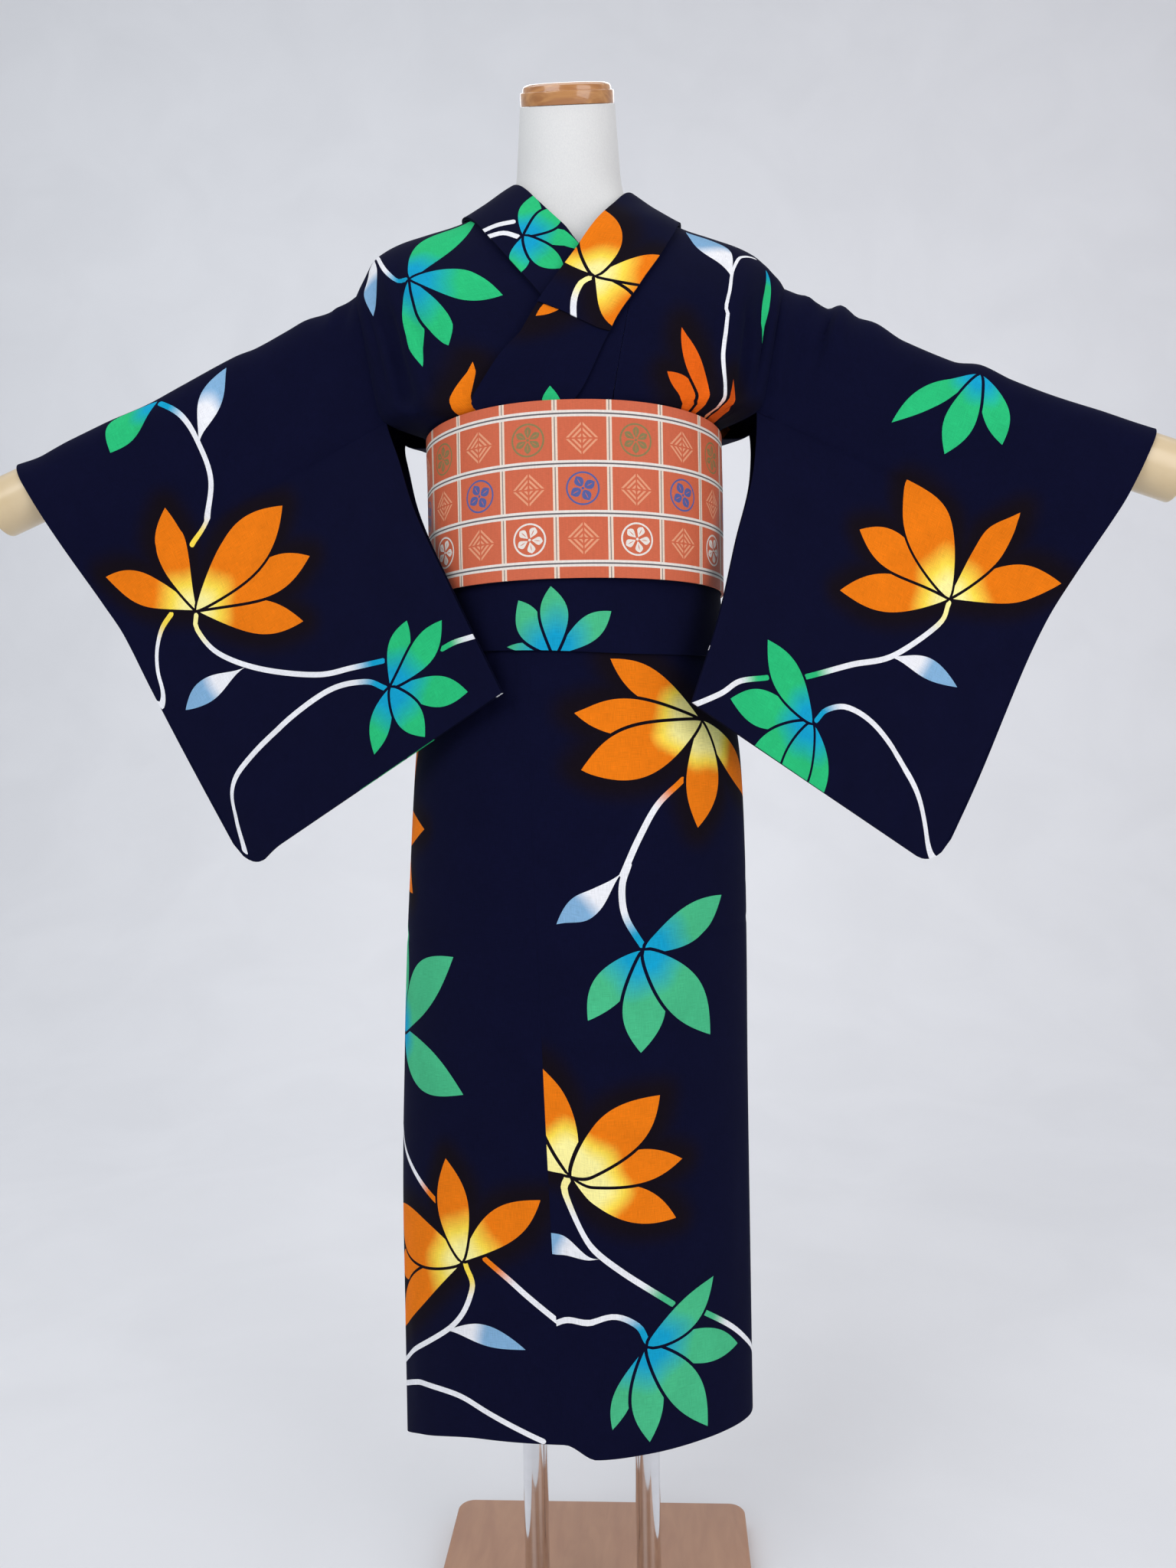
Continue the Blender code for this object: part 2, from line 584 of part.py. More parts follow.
# %% The sash: one turn, lapped over its own start at the back.
SASH_HALF_WIDTH = 0.1449
SASH_HALF_DEPTH = 0.1371
SASH_POWER = 2.2
SASH_START = 240
SASH_LAP = 45
turn, high = np.meshgrid(np.linspace(0, 360 + SASH_LAP, 55), (1, 0.66, 0.33, 0))
sash_angle = np.radians(SASH_START + turn)
sash_lift = (SASH_WALL + 0.0006) * ease(322, 352, turn)
sash_cos, sash_sin = np.cos(sash_angle), np.sin(sash_angle)
sash_x = (SASH_HALF_WIDTH + sash_lift) * np.sign(sash_cos) * np.abs(sash_cos) ** (2 / SASH_POWER)
sash_y = -(SASH_HALF_DEPTH + sash_lift) * np.sign(sash_sin) * np.abs(sash_sin) ** (2 / SASH_POWER)
sash_z = SASH_LOW_Z + (SASH_HIGH_Z - SASH_LOW_Z) * high
sheet("sash", np.stack([sash_x, sash_y, sash_z], -1), SASH_WALL, TERRACOTTA)

# %% The dress form: a limbless torso with a neck, its cap, two arm bars, two posts and a board.
TORSO = Table(
    "z half_width half_depth power",
    (0.800, 0.1240, 0.1040, 2.0),
    (0.808, 0.1290, 0.1090, 2.0),
    (0.900, 0.1380, 0.1180, 2.0),
    (1.000, 0.1350, 0.1220, 2.0),
    (1.100, 0.1290, 0.1200, 2.1),
    (1.200, 0.1320, 0.1190, 2.2),
    (1.270, 0.1430, 0.1090, 2.3),
    (1.310, 0.1530, 0.0960, 2.3),
    (1.345, 0.1640, 0.0820, 2.3),
    (1.368, 0.1660, 0.0720, 2.2),
    (1.388, 0.1500, 0.0650, 2.1),
    (1.404, 0.1240, 0.0600, 2.0),
    (1.422, 0.0860, 0.0560, 2.0),
    (1.440, 0.0600, 0.0540, 2.0),
    (1.460, 0.0525, 0.0520, 2.0),
    (1.480, 0.0508, 0.0506, 2.0),
    (1.500, 0.0495, 0.0495, 2.0),
    (1.520, 0.0482, 0.0482, 2.0),
    (1.541, 0.0470, 0.0470, 2.0),
)


def slanted(points, z):
    """Points near a level of the neck or its cap, turned forward with it."""
    share = min(max((z - NECK_STRAIGHT_Z) / (NECK_TOP_Z - NECK_STRAIGHT_Z), 0), 1)
    c, s = math.cos(share * NECK_SLANT), math.sin(share * NECK_SLANT)
    x, y, up = points.T
    middle = min(z, NECK_TOP_Z)
    return np.stack([x, y * c - (up - middle) * s, middle + y * s + (up - middle) * c], -1)


torso_rings = [slanted(ring(width, depth, z, power), z) for z, width, depth, power in TORSO.rows]
loft("dress_form_torso", torso_rings, material("dress_form_torso", FORM_WHITE))
cap_angle = np.linspace(0, 1, 6) * math.pi / 2
cap_low = NECK_TOP_Z + FIT
cap_side = CAP_HEIGHT * 0.45
cap_rings = [ring(CAP_RADIUS - 0.001, CAP_RADIUS - 0.001, cap_low)]
cap_rings += [ring(CAP_RADIUS, CAP_RADIUS, cap_low + 0.001)]
for a in cap_angle[:-1]:
    radius = CAP_RADIUS - 0.016 * (1 - math.cos(a)) - 0.020 * math.sin(a) ** 4
    cap_rings += [ring(radius, radius, cap_low + cap_side + (CAP_HEIGHT - cap_side) * math.sin(a))]
cap_rings = [slanted(points, points[0, 2]) for points in cap_rings]
loft("neck_cap", cap_rings, material("neck_cap", CAP_WOOD, 0.35))


def cylinder(name, radius, start, end, finish, count=24):
    """A round bar between two points."""
    start, end = np.array(start), np.array(end)
    axis = (end - start) / np.linalg.norm(end - start)
    side = np.cross(axis, (0, 1, 0))
    side /= np.linalg.norm(side)
    other = np.cross(axis, side)
    angle = np.arange(count) * 2 * math.pi / count
    around = np.cos(angle)[:, None] * side + np.sin(angle)[:, None] * other
    chamfer = 0.0015
    reach = ((0, radius - chamfer), (chamfer, radius))
    length = np.linalg.norm(end - start)
    stops = [*reach, (length - chamfer, radius), (length, radius - chamfer)]
    return loft(name, [start + axis * at + around * r for at, r in stops], finish)


for name, row in zip(("arm_bar_left", "arm_bar_right"), CUFFS.rows):
    shoulder, fold_x, fold_z, slope = row[:4]
    slant = math.radians(slope)
    below = (BAR_RADIUS + BAR_CLEAR) / math.cos(slant)
    fall = math.tan(slant)
    level = fold_z - below + abs(fold_x) * fall
    start = (shoulder * BAR_START[shoulder], 0, level - BAR_START[shoulder] * fall)
    end = (shoulder * BAR_END_X, 0, level - BAR_END_X * fall)
    cylinder(name, BAR_RADIUS, start, end, material(name, BAR_CREAM, 0.4), 32)

for name, x in (("post_left", -POST_X), ("post_right", POST_X)):
    low, high = (x, 0, BOARD_HEIGHT + FIT), (x, 0, TORSO_LOW_Z - FIT)
    cylinder(name, POST_RADIUS, low, high, material(name, CHROME, 0.15, 1.0))

bpy.ops.mesh.primitive_cube_add(size=1, location=(0, 0, BOARD_HEIGHT / 2))
board = bpy.context.object
board.name = "base_board"
board.data.name = "base_board"
board.dimensions = (BOARD_WIDTH, BOARD_DEPTH, BOARD_HEIGHT)
bpy.ops.object.transform_apply(location=True, scale=True)
work = bmesh.new()
work.from_mesh(board.data)
upright = [e for e in work.edges if abs(e.verts[0].co.z - e.verts[1].co.z) > 0.01]
bmesh.ops.bevel(work, geom=upright, offset=BOARD_CORNER, segments=5, affect="EDGES", profile=0.5)
rims = [e for e in work.edges if abs(e.verts[0].co.z - e.verts[1].co.z) < 1e-6]
bmesh.ops.bevel(work, geom=rims, offset=0.0025, segments=1, affect="EDGES")
work.to_mesh(board.data)
work.free()
board.data.materials.append(material("base_board", BOARD_TAN, 0.45))
for home in list(board.users_collection):
    home.objects.unlink(board)
robe.objects.link(board)
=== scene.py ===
# %% [markdown]
# # A cotton yukata on its display form
#
# A *yukata* is an unlined summer robe. A maker cuts it from one narrow bolt of cotton: two body
# panels that run from the front hem over the shoulder to the back hem, two narrower overlap
# panels, two square sleeves and a long collar. It is worn left over right, its spare length is
# folded over at the waist, and a broad sash holds it. Here it hangs on a limbless dress form with
# two arm bars, on two chrome posts and a flat board.
#
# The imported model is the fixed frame. Its solids have the true shape of every piece, so each
# finer piece below follows the same sizes and stands in for one of them.

# %% Load the frame
import json
import math

import bpy
import numpy as np
from mathutils import Matrix, Vector, geometry, kdtree

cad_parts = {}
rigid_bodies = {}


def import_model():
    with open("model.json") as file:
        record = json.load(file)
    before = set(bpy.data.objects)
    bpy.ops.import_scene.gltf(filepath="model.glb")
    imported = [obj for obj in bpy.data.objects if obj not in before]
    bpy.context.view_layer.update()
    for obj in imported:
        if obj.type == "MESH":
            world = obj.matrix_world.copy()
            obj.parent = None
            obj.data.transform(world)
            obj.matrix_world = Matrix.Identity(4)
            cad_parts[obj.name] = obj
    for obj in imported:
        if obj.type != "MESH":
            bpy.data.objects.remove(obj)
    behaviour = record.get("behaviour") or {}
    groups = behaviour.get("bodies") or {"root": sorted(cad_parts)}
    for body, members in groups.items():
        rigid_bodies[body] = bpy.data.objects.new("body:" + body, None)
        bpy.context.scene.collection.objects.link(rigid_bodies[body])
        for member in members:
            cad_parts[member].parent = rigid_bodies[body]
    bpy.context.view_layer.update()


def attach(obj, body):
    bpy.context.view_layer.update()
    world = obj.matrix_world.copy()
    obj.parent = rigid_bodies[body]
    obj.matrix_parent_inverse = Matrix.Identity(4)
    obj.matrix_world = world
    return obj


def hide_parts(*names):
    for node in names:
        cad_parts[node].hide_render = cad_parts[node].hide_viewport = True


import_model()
bpy.ops.object.select_all(action="DESELECT")

# %% [markdown]
# ## The camera and the light
#
# The robe is seen from the front at chest height, from about 1.3 m away, with a lens a little
# wider than the eye. The light is soft and even, as in a small studio. One lamp could light
# it all, but would leave hard shadows in the folds. So a large cool lamp stands at the front left
# and a weaker warm one at the right, a third hangs overhead, and one behind lifts the edges. Two
# more light the wall, a cool one and a warm one, so that its sides differ a little in tone.

# %% Camera
CAMERA_PLACE = (0.078, -1.276, 0.914)
CAMERA_YAW, CAMERA_PITCH, CAMERA_ROLL = (math.radians(a) for a in (3.11, 2.01, -1.0))
LENS_MM = 29.13

lens = bpy.data.cameras.new("studio_camera")
camera = bpy.data.objects.new("studio_camera", lens)
bpy.context.scene.collection.objects.link(camera)
bpy.context.scene.camera = camera
lens.lens = LENS_MM
lens.sensor_width = 36
turn = Matrix.Rotation(CAMERA_YAW, 4, "Z") @ Matrix.Rotation(math.pi / 2 - CAMERA_PITCH, 4, "X")
camera.matrix_world = Matrix.Translation(CAMERA_PLACE) @ turn @ Matrix.Rotation(CAMERA_ROLL, 4, "Z")
print("camera at", CAMERA_PLACE)


# %% Lamps and world
def lamp(name, place, target, size, power, color=(1, 1, 1)):
    light = bpy.data.lights.new(name, "AREA")
    light.shape = "RECTANGLE"
    light.size, light.size_y = size
    light.energy = power
    light.color = color
    made = bpy.data.objects.new(name, light)
    bpy.context.scene.collection.objects.link(made)
    made.location = place
    made.rotation_euler = (Vector(target) - Vector(place)).to_track_quat("-Z", "Y").to_euler()
    return made


lamp("key_softbox", (-1.7, -2.6, 2.5), (0, 0, 0.95), (2.2, 2.2), 52, (0.97, 0.985, 1.0))
lamp("fill_softbox", (2.3, -2.4, 1.5), (0, 0, 0.9), (2.0, 2.4), 46, (1.0, 0.97, 0.955))
lamp("top_softbox", (0.0, 0.2, 3.4), (0, 0, 0.9), (2.6, 1.6), 14)
lamp("back_softbox", (0.0, 2.6, 3.3), (0, 0, 1.0), (2.4, 1.2), 18)
lamp("left_wall_softbox", (-1.7, 0.9, 3.3), (-1.6, 3.4, 1.5), (2.2, 1.2), 18, (0.95, 0.98, 1.0))
lamp("right_wall_softbox", (1.7, 0.9, 3.3), (1.6, 3.4, 1.5), (2.2, 1.2), 15, (1.0, 0.965, 0.975))
world = bpy.data.worlds.new("pale_studio")
bpy.context.scene.world = world
world.use_nodes = True
world.node_tree.nodes["Background"].inputs["Color"].default_value = (0.93, 0.95, 1.0, 1)
world.node_tree.nodes["Background"].inputs["Strength"].default_value = 0.42
bpy.context.scene.view_settings.view_transform = "Standard"
print("lamps:", len(bpy.data.lights))

# %% [markdown]
# ## Reading sizes
#
# The cloth follows formulas with short tables of sizes, as the solids do. A `Table` is read
# between its rows on a smooth curve that never overshoots.


# %% Tables and soft steps
class Table:
    """Rows of sizes under named columns, read between the rows on a smooth curve."""

    def __init__(self, columns, *rows):
        self.names = columns.split()
        self.rows = np.array(rows, float)

    def read(self, column, at):
        key = self.rows[:, 0]
        value = self.rows[:, self.names.index(column)]
        at = np.clip(at, key[0], key[-1])
        slope = np.diff(value) / np.diff(key)
        before, after = slope[:-1], slope[1:]
        same = before * after > 0
        total = np.where(same, before + after, 1)
        tangent = np.zeros(len(key))
        tangent[0], tangent[-1] = slope[0], slope[-1]
        tangent[1:-1] = np.where(same, 2 * before * after / total, 0)
        row = np.clip(np.searchsorted(key, at) - 1, 0, len(key) - 2)
        span = key[row + 1] - key[row]
        t = (at - key[row]) / span
        start = value[row] * (1 + 2 * t) * (1 - t) ** 2 + tangent[row] * span * t * (1 - t) ** 2
        end = value[row + 1] * t * t * (3 - 2 * t) + tangent[row + 1] * span * t * t * (t - 1)
        return start + end


def ease(low, high, at):
    """0 below low, 1 above high, and smooth between."""
    t = np.clip((at - low) / (high - low), 0, 1)
    return t * t * (3 - 2 * t)


def bump(at, middle, width):
    """1 at the middle of a fold, falling away softly on both sides."""
    return np.exp(-(((at - middle) / width) ** 2))


def lifted(surface, across, along, lift):
    """The surface's points moved outwards by lift, along its own normal."""
    step = 1e-3
    run = surface(across + step, along) - surface(across - step, along)
    rise = surface(across, along + step) - surface(across, along - step)
    normal = np.cross(run, rise)
    normal /= np.maximum(np.linalg.norm(normal, axis=-1, keepdims=True), 1e-12)
    return surface(across, along) + normal * np.asarray(lift)[..., None]


print("smooth steps at 0.5:", ease(0, 1, 0.5), bump(0.5, 0.5, 1))

# %% [markdown]
# ## The upper body's surface
#
# The chest and back are level sections that hang from the line of the shoulders. `chest(side,
# row)` gives a point: *side* is the sine of the angle round the body, and *row* is 0 on the
# shoulder line, negative down the front and positive down the back.

# %% Sizes of the chest and shoulders
CLOTH = 0.0012
LAYER = 0.0024
SEAM = 0.0003
COLLAR_WALL = 0.0016
TUCK_WALL = 0.0024
SASH_WALL = 0.0022
OVER_TWO_COLLARS = 0.0064
OVER_FRONT = 0.0026
HIP_Z = 1.280
SKIRT_TOP_Z = 1.094
ROW_BELOW_HIPS = 0.2  # the height of one row below the hips
SHOULDER_HALF = 0.220
SHOULDER_TILT = 0.050
TILT_FADES = (0.186, 0.209)  # half of the tilt fades out between these, on both shoulders
SECTION_POWER = 2.3
ARMHOLE_SIDE = 0.955
SIDE_EDGE = 0.9995
CHEST = Table(
    "z half_width front back",
    (1.0950, 0.1355, 0.1260, 0.1260),
    (1.2050, 0.1385, 0.1260, 0.1250),
    (1.2135, 0.1400, 0.1260, 0.1250),
    (1.2165, 0.1560, 0.1258, 0.1250),
    (1.2210, 0.1800, 0.1254, 0.1248),
    (1.2290, 0.1915, 0.1245, 0.1240),
    (1.2500, 0.1975, 0.1220, 0.1210),
    (1.2800, 0.2035, 0.1165, 0.1170),
    (1.3200, 0.2110, 0.1085, 0.1120),
    (1.3620, 0.2200, 0.0990, 0.1070),
    (1.4200, 0.2200, 0.0940, 0.1030),
    (1.4800, 0.2200, 0.0920, 0.1000),
)
SHOULDER = Table(
    "x ridge fall",
    (0.000, 1.4740, 0.200),
    (0.055, 1.4490, 0.165),
    (0.080, 1.4325, 0.142),
    (0.105, 1.4178, 0.120),
    (0.140, 1.4068, 0.104),
    (0.166, 1.3985, 0.090),
    (0.190, 1.3845, 0.065),
    (0.202, 1.3695, 0.052),
    (0.210, 1.3575, 0.044),
    (0.220, 1.3460, 0.044),
)
TROUGHS = (  # each is a shoulder, its side at the top and below, its width and its depth
    (-1, 0.86, 0.78, 0.050, 0.012),
    (-1, 0.74, 0.62, 0.035, 0.005),
    (1, 0.87, 0.84, 0.055, 0.014),
    (1, 0.70, 0.66, 0.040, 0.005),
)
TROUGH_LEANS = (1.22, 1.38)  # a trough runs from its low side to its top side between these
TROUGH_STARTS = (1.218, 1.245)
TROUGH_ENDS = (1.345, 1.385)
BACK_TROUGH = 0.6  # of its depth in front
print("chest sections:", len(CHEST.rows))


# %% The chest's surface
def shoulder_line(side):
    x = SHOULDER_HALF * np.abs(side)
    tilt = -SHOULDER_TILT * SHOULDER_HALF * side * (1 - 0.5 * ease(*TILT_FADES, x))
    return SHOULDER.read("ridge", x) + tilt


def chest(side, row):
    """A point of the upper body, from the angle round it and the row down from the shoulder."""
    top = shoulder_line(side)
    fall = SHOULDER.read("fall", SHOULDER_HALF * np.abs(side))
    turns = np.abs(row)
    z = np.where(turns < 1, top - (top - HIP_Z) * turns**2, HIP_Z - ROW_BELOW_HIPS * (turns - 1))
    lean = np.minimum((top - z) / fall, 1)
    out = np.sqrt(np.maximum(1 - (1 - lean) ** 2, 0))
    flank = np.maximum(1 - np.abs(side) ** SECTION_POWER, 0) ** (1 / SECTION_POWER)
    depth = np.where(row < 0, CHEST.read("front", z), CHEST.read("back", z)) * flank * out
    for shoulder, top_side, low_side, width, deep in TROUGHS:
        middle = low_side + (top_side - low_side) * ease(*TROUGH_LEANS, z)
        reach = ease(*TROUGH_STARTS, z) * (1 - ease(*TROUGH_ENDS, z))
        trough = deep * bump(side * shoulder, middle, width) * reach
        depth = depth - np.where(row < 0, trough, BACK_TROUGH * trough)
    x = CHEST.read("half_width", z) * side
    return np.stack([x, np.sign(row) * depth, z], -1)


def chest_side(x, z):
    return x / CHEST.read("half_width", z)


def chest_row(side, z):
    """The row, of the front or back, that passes through the height z."""
    top = shoulder_line(side)
    above = np.sqrt(np.clip((top - z) / (top - HIP_Z), 0, 1))
    return np.where(z > HIP_Z, above, 1 + (HIP_Z - z) / ROW_BELOW_HIPS)


print("chest at the front middle:", np.round(chest(np.array(0.0), np.array(-1.0)), 3))

# %% [markdown]
# ## Cutting a piece of cloth
#
# A real panel is cut flat and then draped. Here a panel is a flat rectangle of *s* and *t*, from
# 0 to 1, with its real size in metres, and a `place` function that drapes it. Its mesh is a
# triangulation of small staggered points, and the outlines of the printed flowers are lines of
# that same triangulation. So every petal has a crisp edge at any distance, as dye resisted with
# paste has, and its colour is simply stored on the face corners.

# %% The cloth's finish
def nodes_of(material):
    """The shader of a material, and two short ways to add a node and to link two sockets."""
    tree = material.node_tree
    shader = tree.nodes["Principled BSDF"]

    def add(kind, **settings):
        made = tree.nodes.new(kind)
        for name, value in settings.items():
            setattr(made, name, value)
        return made

    def link(source, target):
        tree.links.new(source, target)

    return shader, add, link


def new_finish(name, roughness, **sockets):
    made = bpy.data.materials.new(name)
    made.use_nodes = True
    shader = made.node_tree.nodes["Principled BSDF"]
    shader.inputs["Roughness"].default_value = roughness
    for socket, value in sockets.items():
        shader.inputs[socket.replace("_", " ")].default_value = value
    return made


def math_node(add, link, operation, first, second=None, third=None):
    node = add("ShaderNodeMath", operation=operation)
    for slot, value in zip(node.inputs, (first, second, third)):
        if value is None:
            continue
        if isinstance(value, (int, float)):
            slot.default_value = value
        else:
            link(value, slot)
    return node.outputs[0]


def printed_cotton(name):
    """Plain-weave cotton: the dyes of its faces, darker and lighter threads, and a fine weave."""
    made = new_finish(name, 0.9, Specular_IOR_Level=0.05, Sheen_Weight=0.012, Sheen_Roughness=0.5)
    made.node_tree.nodes["Principled BSDF"].inputs["Sheen Tint"].default_value = (0.5, 0.6, 1, 1)
    shader, add, link = nodes_of(made)
    dye = add("ShaderNodeAttribute", attribute_name="dye")
    flat = add("ShaderNodeUVMap", uv_map="flat")
    threads = []
    for stretch in ((2600, 90, 1), (90, 2600, 1)):
        scale = add("ShaderNodeMapping")
        scale.inputs["Scale"].default_value = stretch
        link(flat.outputs["UV"], scale.inputs["Vector"])
        noise = add("ShaderNodeTexNoise", noise_dimensions="2D")
        noise.inputs["Scale"].default_value = 1
        noise.inputs["Detail"].default_value = 2
        link(scale.outputs["Vector"], noise.inputs["Vector"])
        threads.append(noise.outputs["Fac"])
    weave = math_node(add, link, "ADD", threads[0], threads[1])
    shade = math_node(add, link, "MULTIPLY_ADD", weave, 0.42, 0.58)
    patchy = add("ShaderNodeTexNoise", noise_dimensions="2D")
    patchy.inputs["Scale"].default_value = 26
    patchy.inputs["Detail"].default_value = 3
    link(flat.outputs["UV"], patchy.inputs["Vector"])
    patch = math_node(add, link, "MULTIPLY_ADD", patchy.outputs["Fac"], 0.22, 0.89)
    both = math_node(add, link, "MULTIPLY", shade, patch)
    tint = add("ShaderNodeMix", data_type="RGBA", blend_type="MULTIPLY")
    tint.inputs["Factor"].default_value = 1
    link(dye.outputs["Color"], tint.inputs["A"])
    link(both, tint.inputs["B"])
    link(tint.outputs["Result"], shader.inputs["Base Color"])
    relief = add("ShaderNodeBump")
    relief.inputs["Strength"].default_value = 0.22
    relief.inputs["Distance"].default_value = 0.0004
    link(weave, relief.inputs["Height"])
    link(relief.outputs["Normal"], shader.inputs["Normal"])
    return made


cotton = printed_cotton("printed_cotton")
print("finish:", cotton.name)


# %% [markdown]
# ## Drawing the print
#
# The cloth is dyed with flowers, leaf sprays, buds and long stems on a dark ground, a common
# summer design. Each motif is drawn by a small function from a few sizes, in metres on the flat
# cloth. A petal has a bent spine and a width that swells and closes again. The petals in front
# come first in a list, and each keeps a narrow vein of dark ground free round itself.

# %% Dyes
NAVY_DYE = (0.0030, 0.0036, 0.0200)
SMOKE_DYE = (0.0060, 0.0036, 0.0070)  # the ground beside orange petals
ORANGE_DYE = (0.790, 0.185, 0.006)
RED_ORANGE_DYE = (0.760, 0.120, 0.007)
# painted shade: a darker orange for a petal that lies folded in shade
FOLD_SHADE_ORANGE_DYE = (0.600, 0.085, 0.007)
YELLOW_DYE = (0.930, 0.700, 0.075)
PALE_YELLOW_DYE = (0.930, 0.850, 0.330)
GREEN_DYE = (0.022, 0.490, 0.180)
SOFT_GREEN_DYE = (0.062, 0.465, 0.225)
CYAN_DYE = (0.006, 0.330, 0.560)
WHITE_DYE = (0.800, 0.810, 0.850)
BUD_BLUE_DYE = (0.210, 0.400, 0.620)
FLOWER_SHADES = ((0.014, PALE_YELLOW_DYE), (0.030, YELLOW_DYE), (0.052, ORANGE_DYE))
PALE_FLOWER_SHADES = ((0.028, PALE_YELLOW_DYE), (0.040, YELLOW_DYE), (0.052, ORANGE_DYE))
LEAF_SHADES = ((0.018, CYAN_DYE), (0.046, GREEN_DYE))
SOFT_LEAF_SHADES = ((0.018, CYAN_DYE), (0.046, SOFT_GREEN_DYE))
VEIN = 0.0030
STEM_WIDTH = 0.0056
OUTLINE_PITCH = 0.0030  # between the points along a printed outline
TIP_SPREAD = (0.040, 0.012)  # from a stem's end, where its tint starts and where it is full
print("shades of a flower:", len(FLOWER_SHADES), "and of a leaf spray:", len(LEAF_SHADES))


# %% Shade a motif
def shaded(heart, shades):
    """Dye poured at the heart and spreading outwards. Each shade is full at its radius."""
    radii = [radius for radius, _ in shades]
    channels = np.array([dye for _, dye in shades]).T

    def dye(at):
        out = at - np.array(heart)
        turn = np.arctan2(out[:, 1], out[:, 0])
        uneven = 1 + 0.07 * np.sin(3 * turn + 40 * heart[0]) + 0.05 * np.sin(7 * turn + 90 * heart[1])
        distance = np.hypot(*out.T) * uneven
        return np.stack([np.interp(distance, radii, channel) for channel in channels], -1)

    return dye


def tipped(first, last, start, end):
    """White dye with a tint at one end or at both."""

    def dye(at):
        near = ease(*TIP_SPREAD, np.hypot(*(at - np.array(first)).T))[:, None]
        far = ease(*TIP_SPREAD, np.hypot(*(at - np.array(last)).T))[:, None]
        color = np.array(WHITE_DYE) * (1 - near) + np.array(start) * near
        return color * (1 - far) + np.array(end) * far

    return dye


print("orange at 60 mm:", shaded((0, 0), FLOWER_SHADES)(np.array([[0.06, 0.0]])).round(2).tolist())


# %% Draw petals, stems and buds
class Print:
    """One dyed shape: its outline, the halo it keeps free, its dye, and if it is a warm one."""

    def __init__(self, outline, dye, halo=None, warm=False):
        self.outline, self.dye, self.halo, self.warm = outline, dye, halo, warm

    def carried(self, spot, turn):
        """The same print, its flat place turned by a 2 x 2 matrix and then moved to a spot."""
        move = lambda line: line @ turn.T + spot
        dye = lambda at: self.dye((at - spot) @ turn)
        return Print(move(self.outline), dye, None if self.halo is None else move(self.halo), self.warm)


def petal(base, tip, width, bend=0.0, fullest=0.56, neck=0.65):
    """A petal's outline. bend bows its spine aside, and neck is over 1 for a narrow base."""
    base, run = np.array(base), np.subtract(tip, base)
    length = math.hypot(*run)
    aside = np.array((-run[1], run[0])) / length
    along = np.linspace(0, 1, max(8, round(length / OUTLINE_PITCH)) + 1)[:, None]
    spine = base + run * along + aside * 4 * bend * along * (1 - along)
    swell = np.sin(math.pi * along ** (math.log(0.5) / math.log(fullest)))
    half = width / 2 * np.maximum(swell, 0) ** (neck + (0.95 - neck) * along)
    return np.concatenate([spine + aside * half, (spine - aside * half)[-2:0:-1]])


def grown(outline, by):
    """The outline moved outwards."""
    along = np.roll(outline, -1, 0) - np.roll(outline, 1, 0)
    along /= np.linalg.norm(along, axis=1, keepdims=True)
    return outline + by * np.stack([-along[:, 1], along[:, 0]], -1)


def spray(heart, shades, *petals, reach=1.0):
    """A flower or a leaf spray. Each petal is a tip's x and y, width, bend and fullest place."""
    shades = [(radius * reach, dye) for radius, dye in shades]
    made = []
    for tip_x, tip_y, width, bend, fullest in petals:
        outline = petal(heart, (tip_x, tip_y), width, bend, fullest)
        warm = shades[-1][1] == ORANGE_DYE
        made.append(Print(outline, shaded(heart, shades), grown(outline, VEIN), warm))
    return made


def smooth_line(points):
    """Points on a smooth curve through a few."""
    points = np.array(points)
    knots = np.vstack([2 * points[0] - points[1], points, 2 * points[-1] - points[-2]])
    line = []
    for a, b, c, d in zip(knots, knots[1:], knots[2:], knots[3:]):
        steps = max(2, round(math.dist(b, c) / (1.5 * OUTLINE_PITCH)))
        t = np.linspace(0, 1, steps, endpoint=False)[:, None]
        square, cube = a - 2.5 * b + 2 * c - d / 2, 1.5 * (b - c) + (d - a) / 2
        line.append(b + t * (c - a) / 2 + t**2 * square + t**3 * cube)
    return np.vstack([*line, points[-1:]])


def stem(*points, start=WHITE_DYE, end=WHITE_DYE, width=STEM_WIDTH):
    """A line of even width with round ends."""
    line = smooth_line(points)
    along = np.gradient(line, axis=0)
    along /= np.linalg.norm(along, axis=1, keepdims=True)
    aside = np.stack([-along[:, 1], along[:, 0]], -1) * width / 2
    round_end = np.radians((60, 30, 0, -30, -60))[:, None]
    tip = line[-1] + np.sin(round_end) * aside[-1] + np.cos(round_end) * along[-1] * width / 2
    tail = line[0] - np.sin(round_end) * aside[0] - np.cos(round_end) * along[0] * width / 2
    outline = np.concatenate([line + aside, tip, (line - aside)[::-1], tail])
    return [Print(outline, tipped(points[0], points[-1], start, end))]


def bud(base, tip, width, bend=0.0):
    """A closed bud, white at its neck and pale blue towards its tip."""
    length = math.dist(base, tip)
    shades = ((0.46 * length, WHITE_DYE), (0.62 * length, BUD_BLUE_DYE), (length, BUD_BLUE_DYE))
    return [Print(petal(base, tip, width, bend, 0.58, neck=1.5), shaded(base, shades))]


def join(*parts):
    return [one for part in parts for one in part]


print("points of a petal of 0.1 m:", len(petal((0, 0), (0.1, 0), 0.04)))

# %% [markdown]
# ## Cutting cloth to its print
#
# The panel's mesh is made in one go: its rim, the outlines of its motifs and a staggered field of
# points go into one triangulation, which keeps every outline as a line of edges.

# %% Cut a panel and drape it
PITCH = 0.0045  # between the points of a panel's mesh
CLEAR_OF_OUTLINE = 0.42  # of PITCH, kept free of other points beside an outline
SMOKE_FADES = (0.030, 0.004)  # from a warm petal, where the browner ground starts and is full


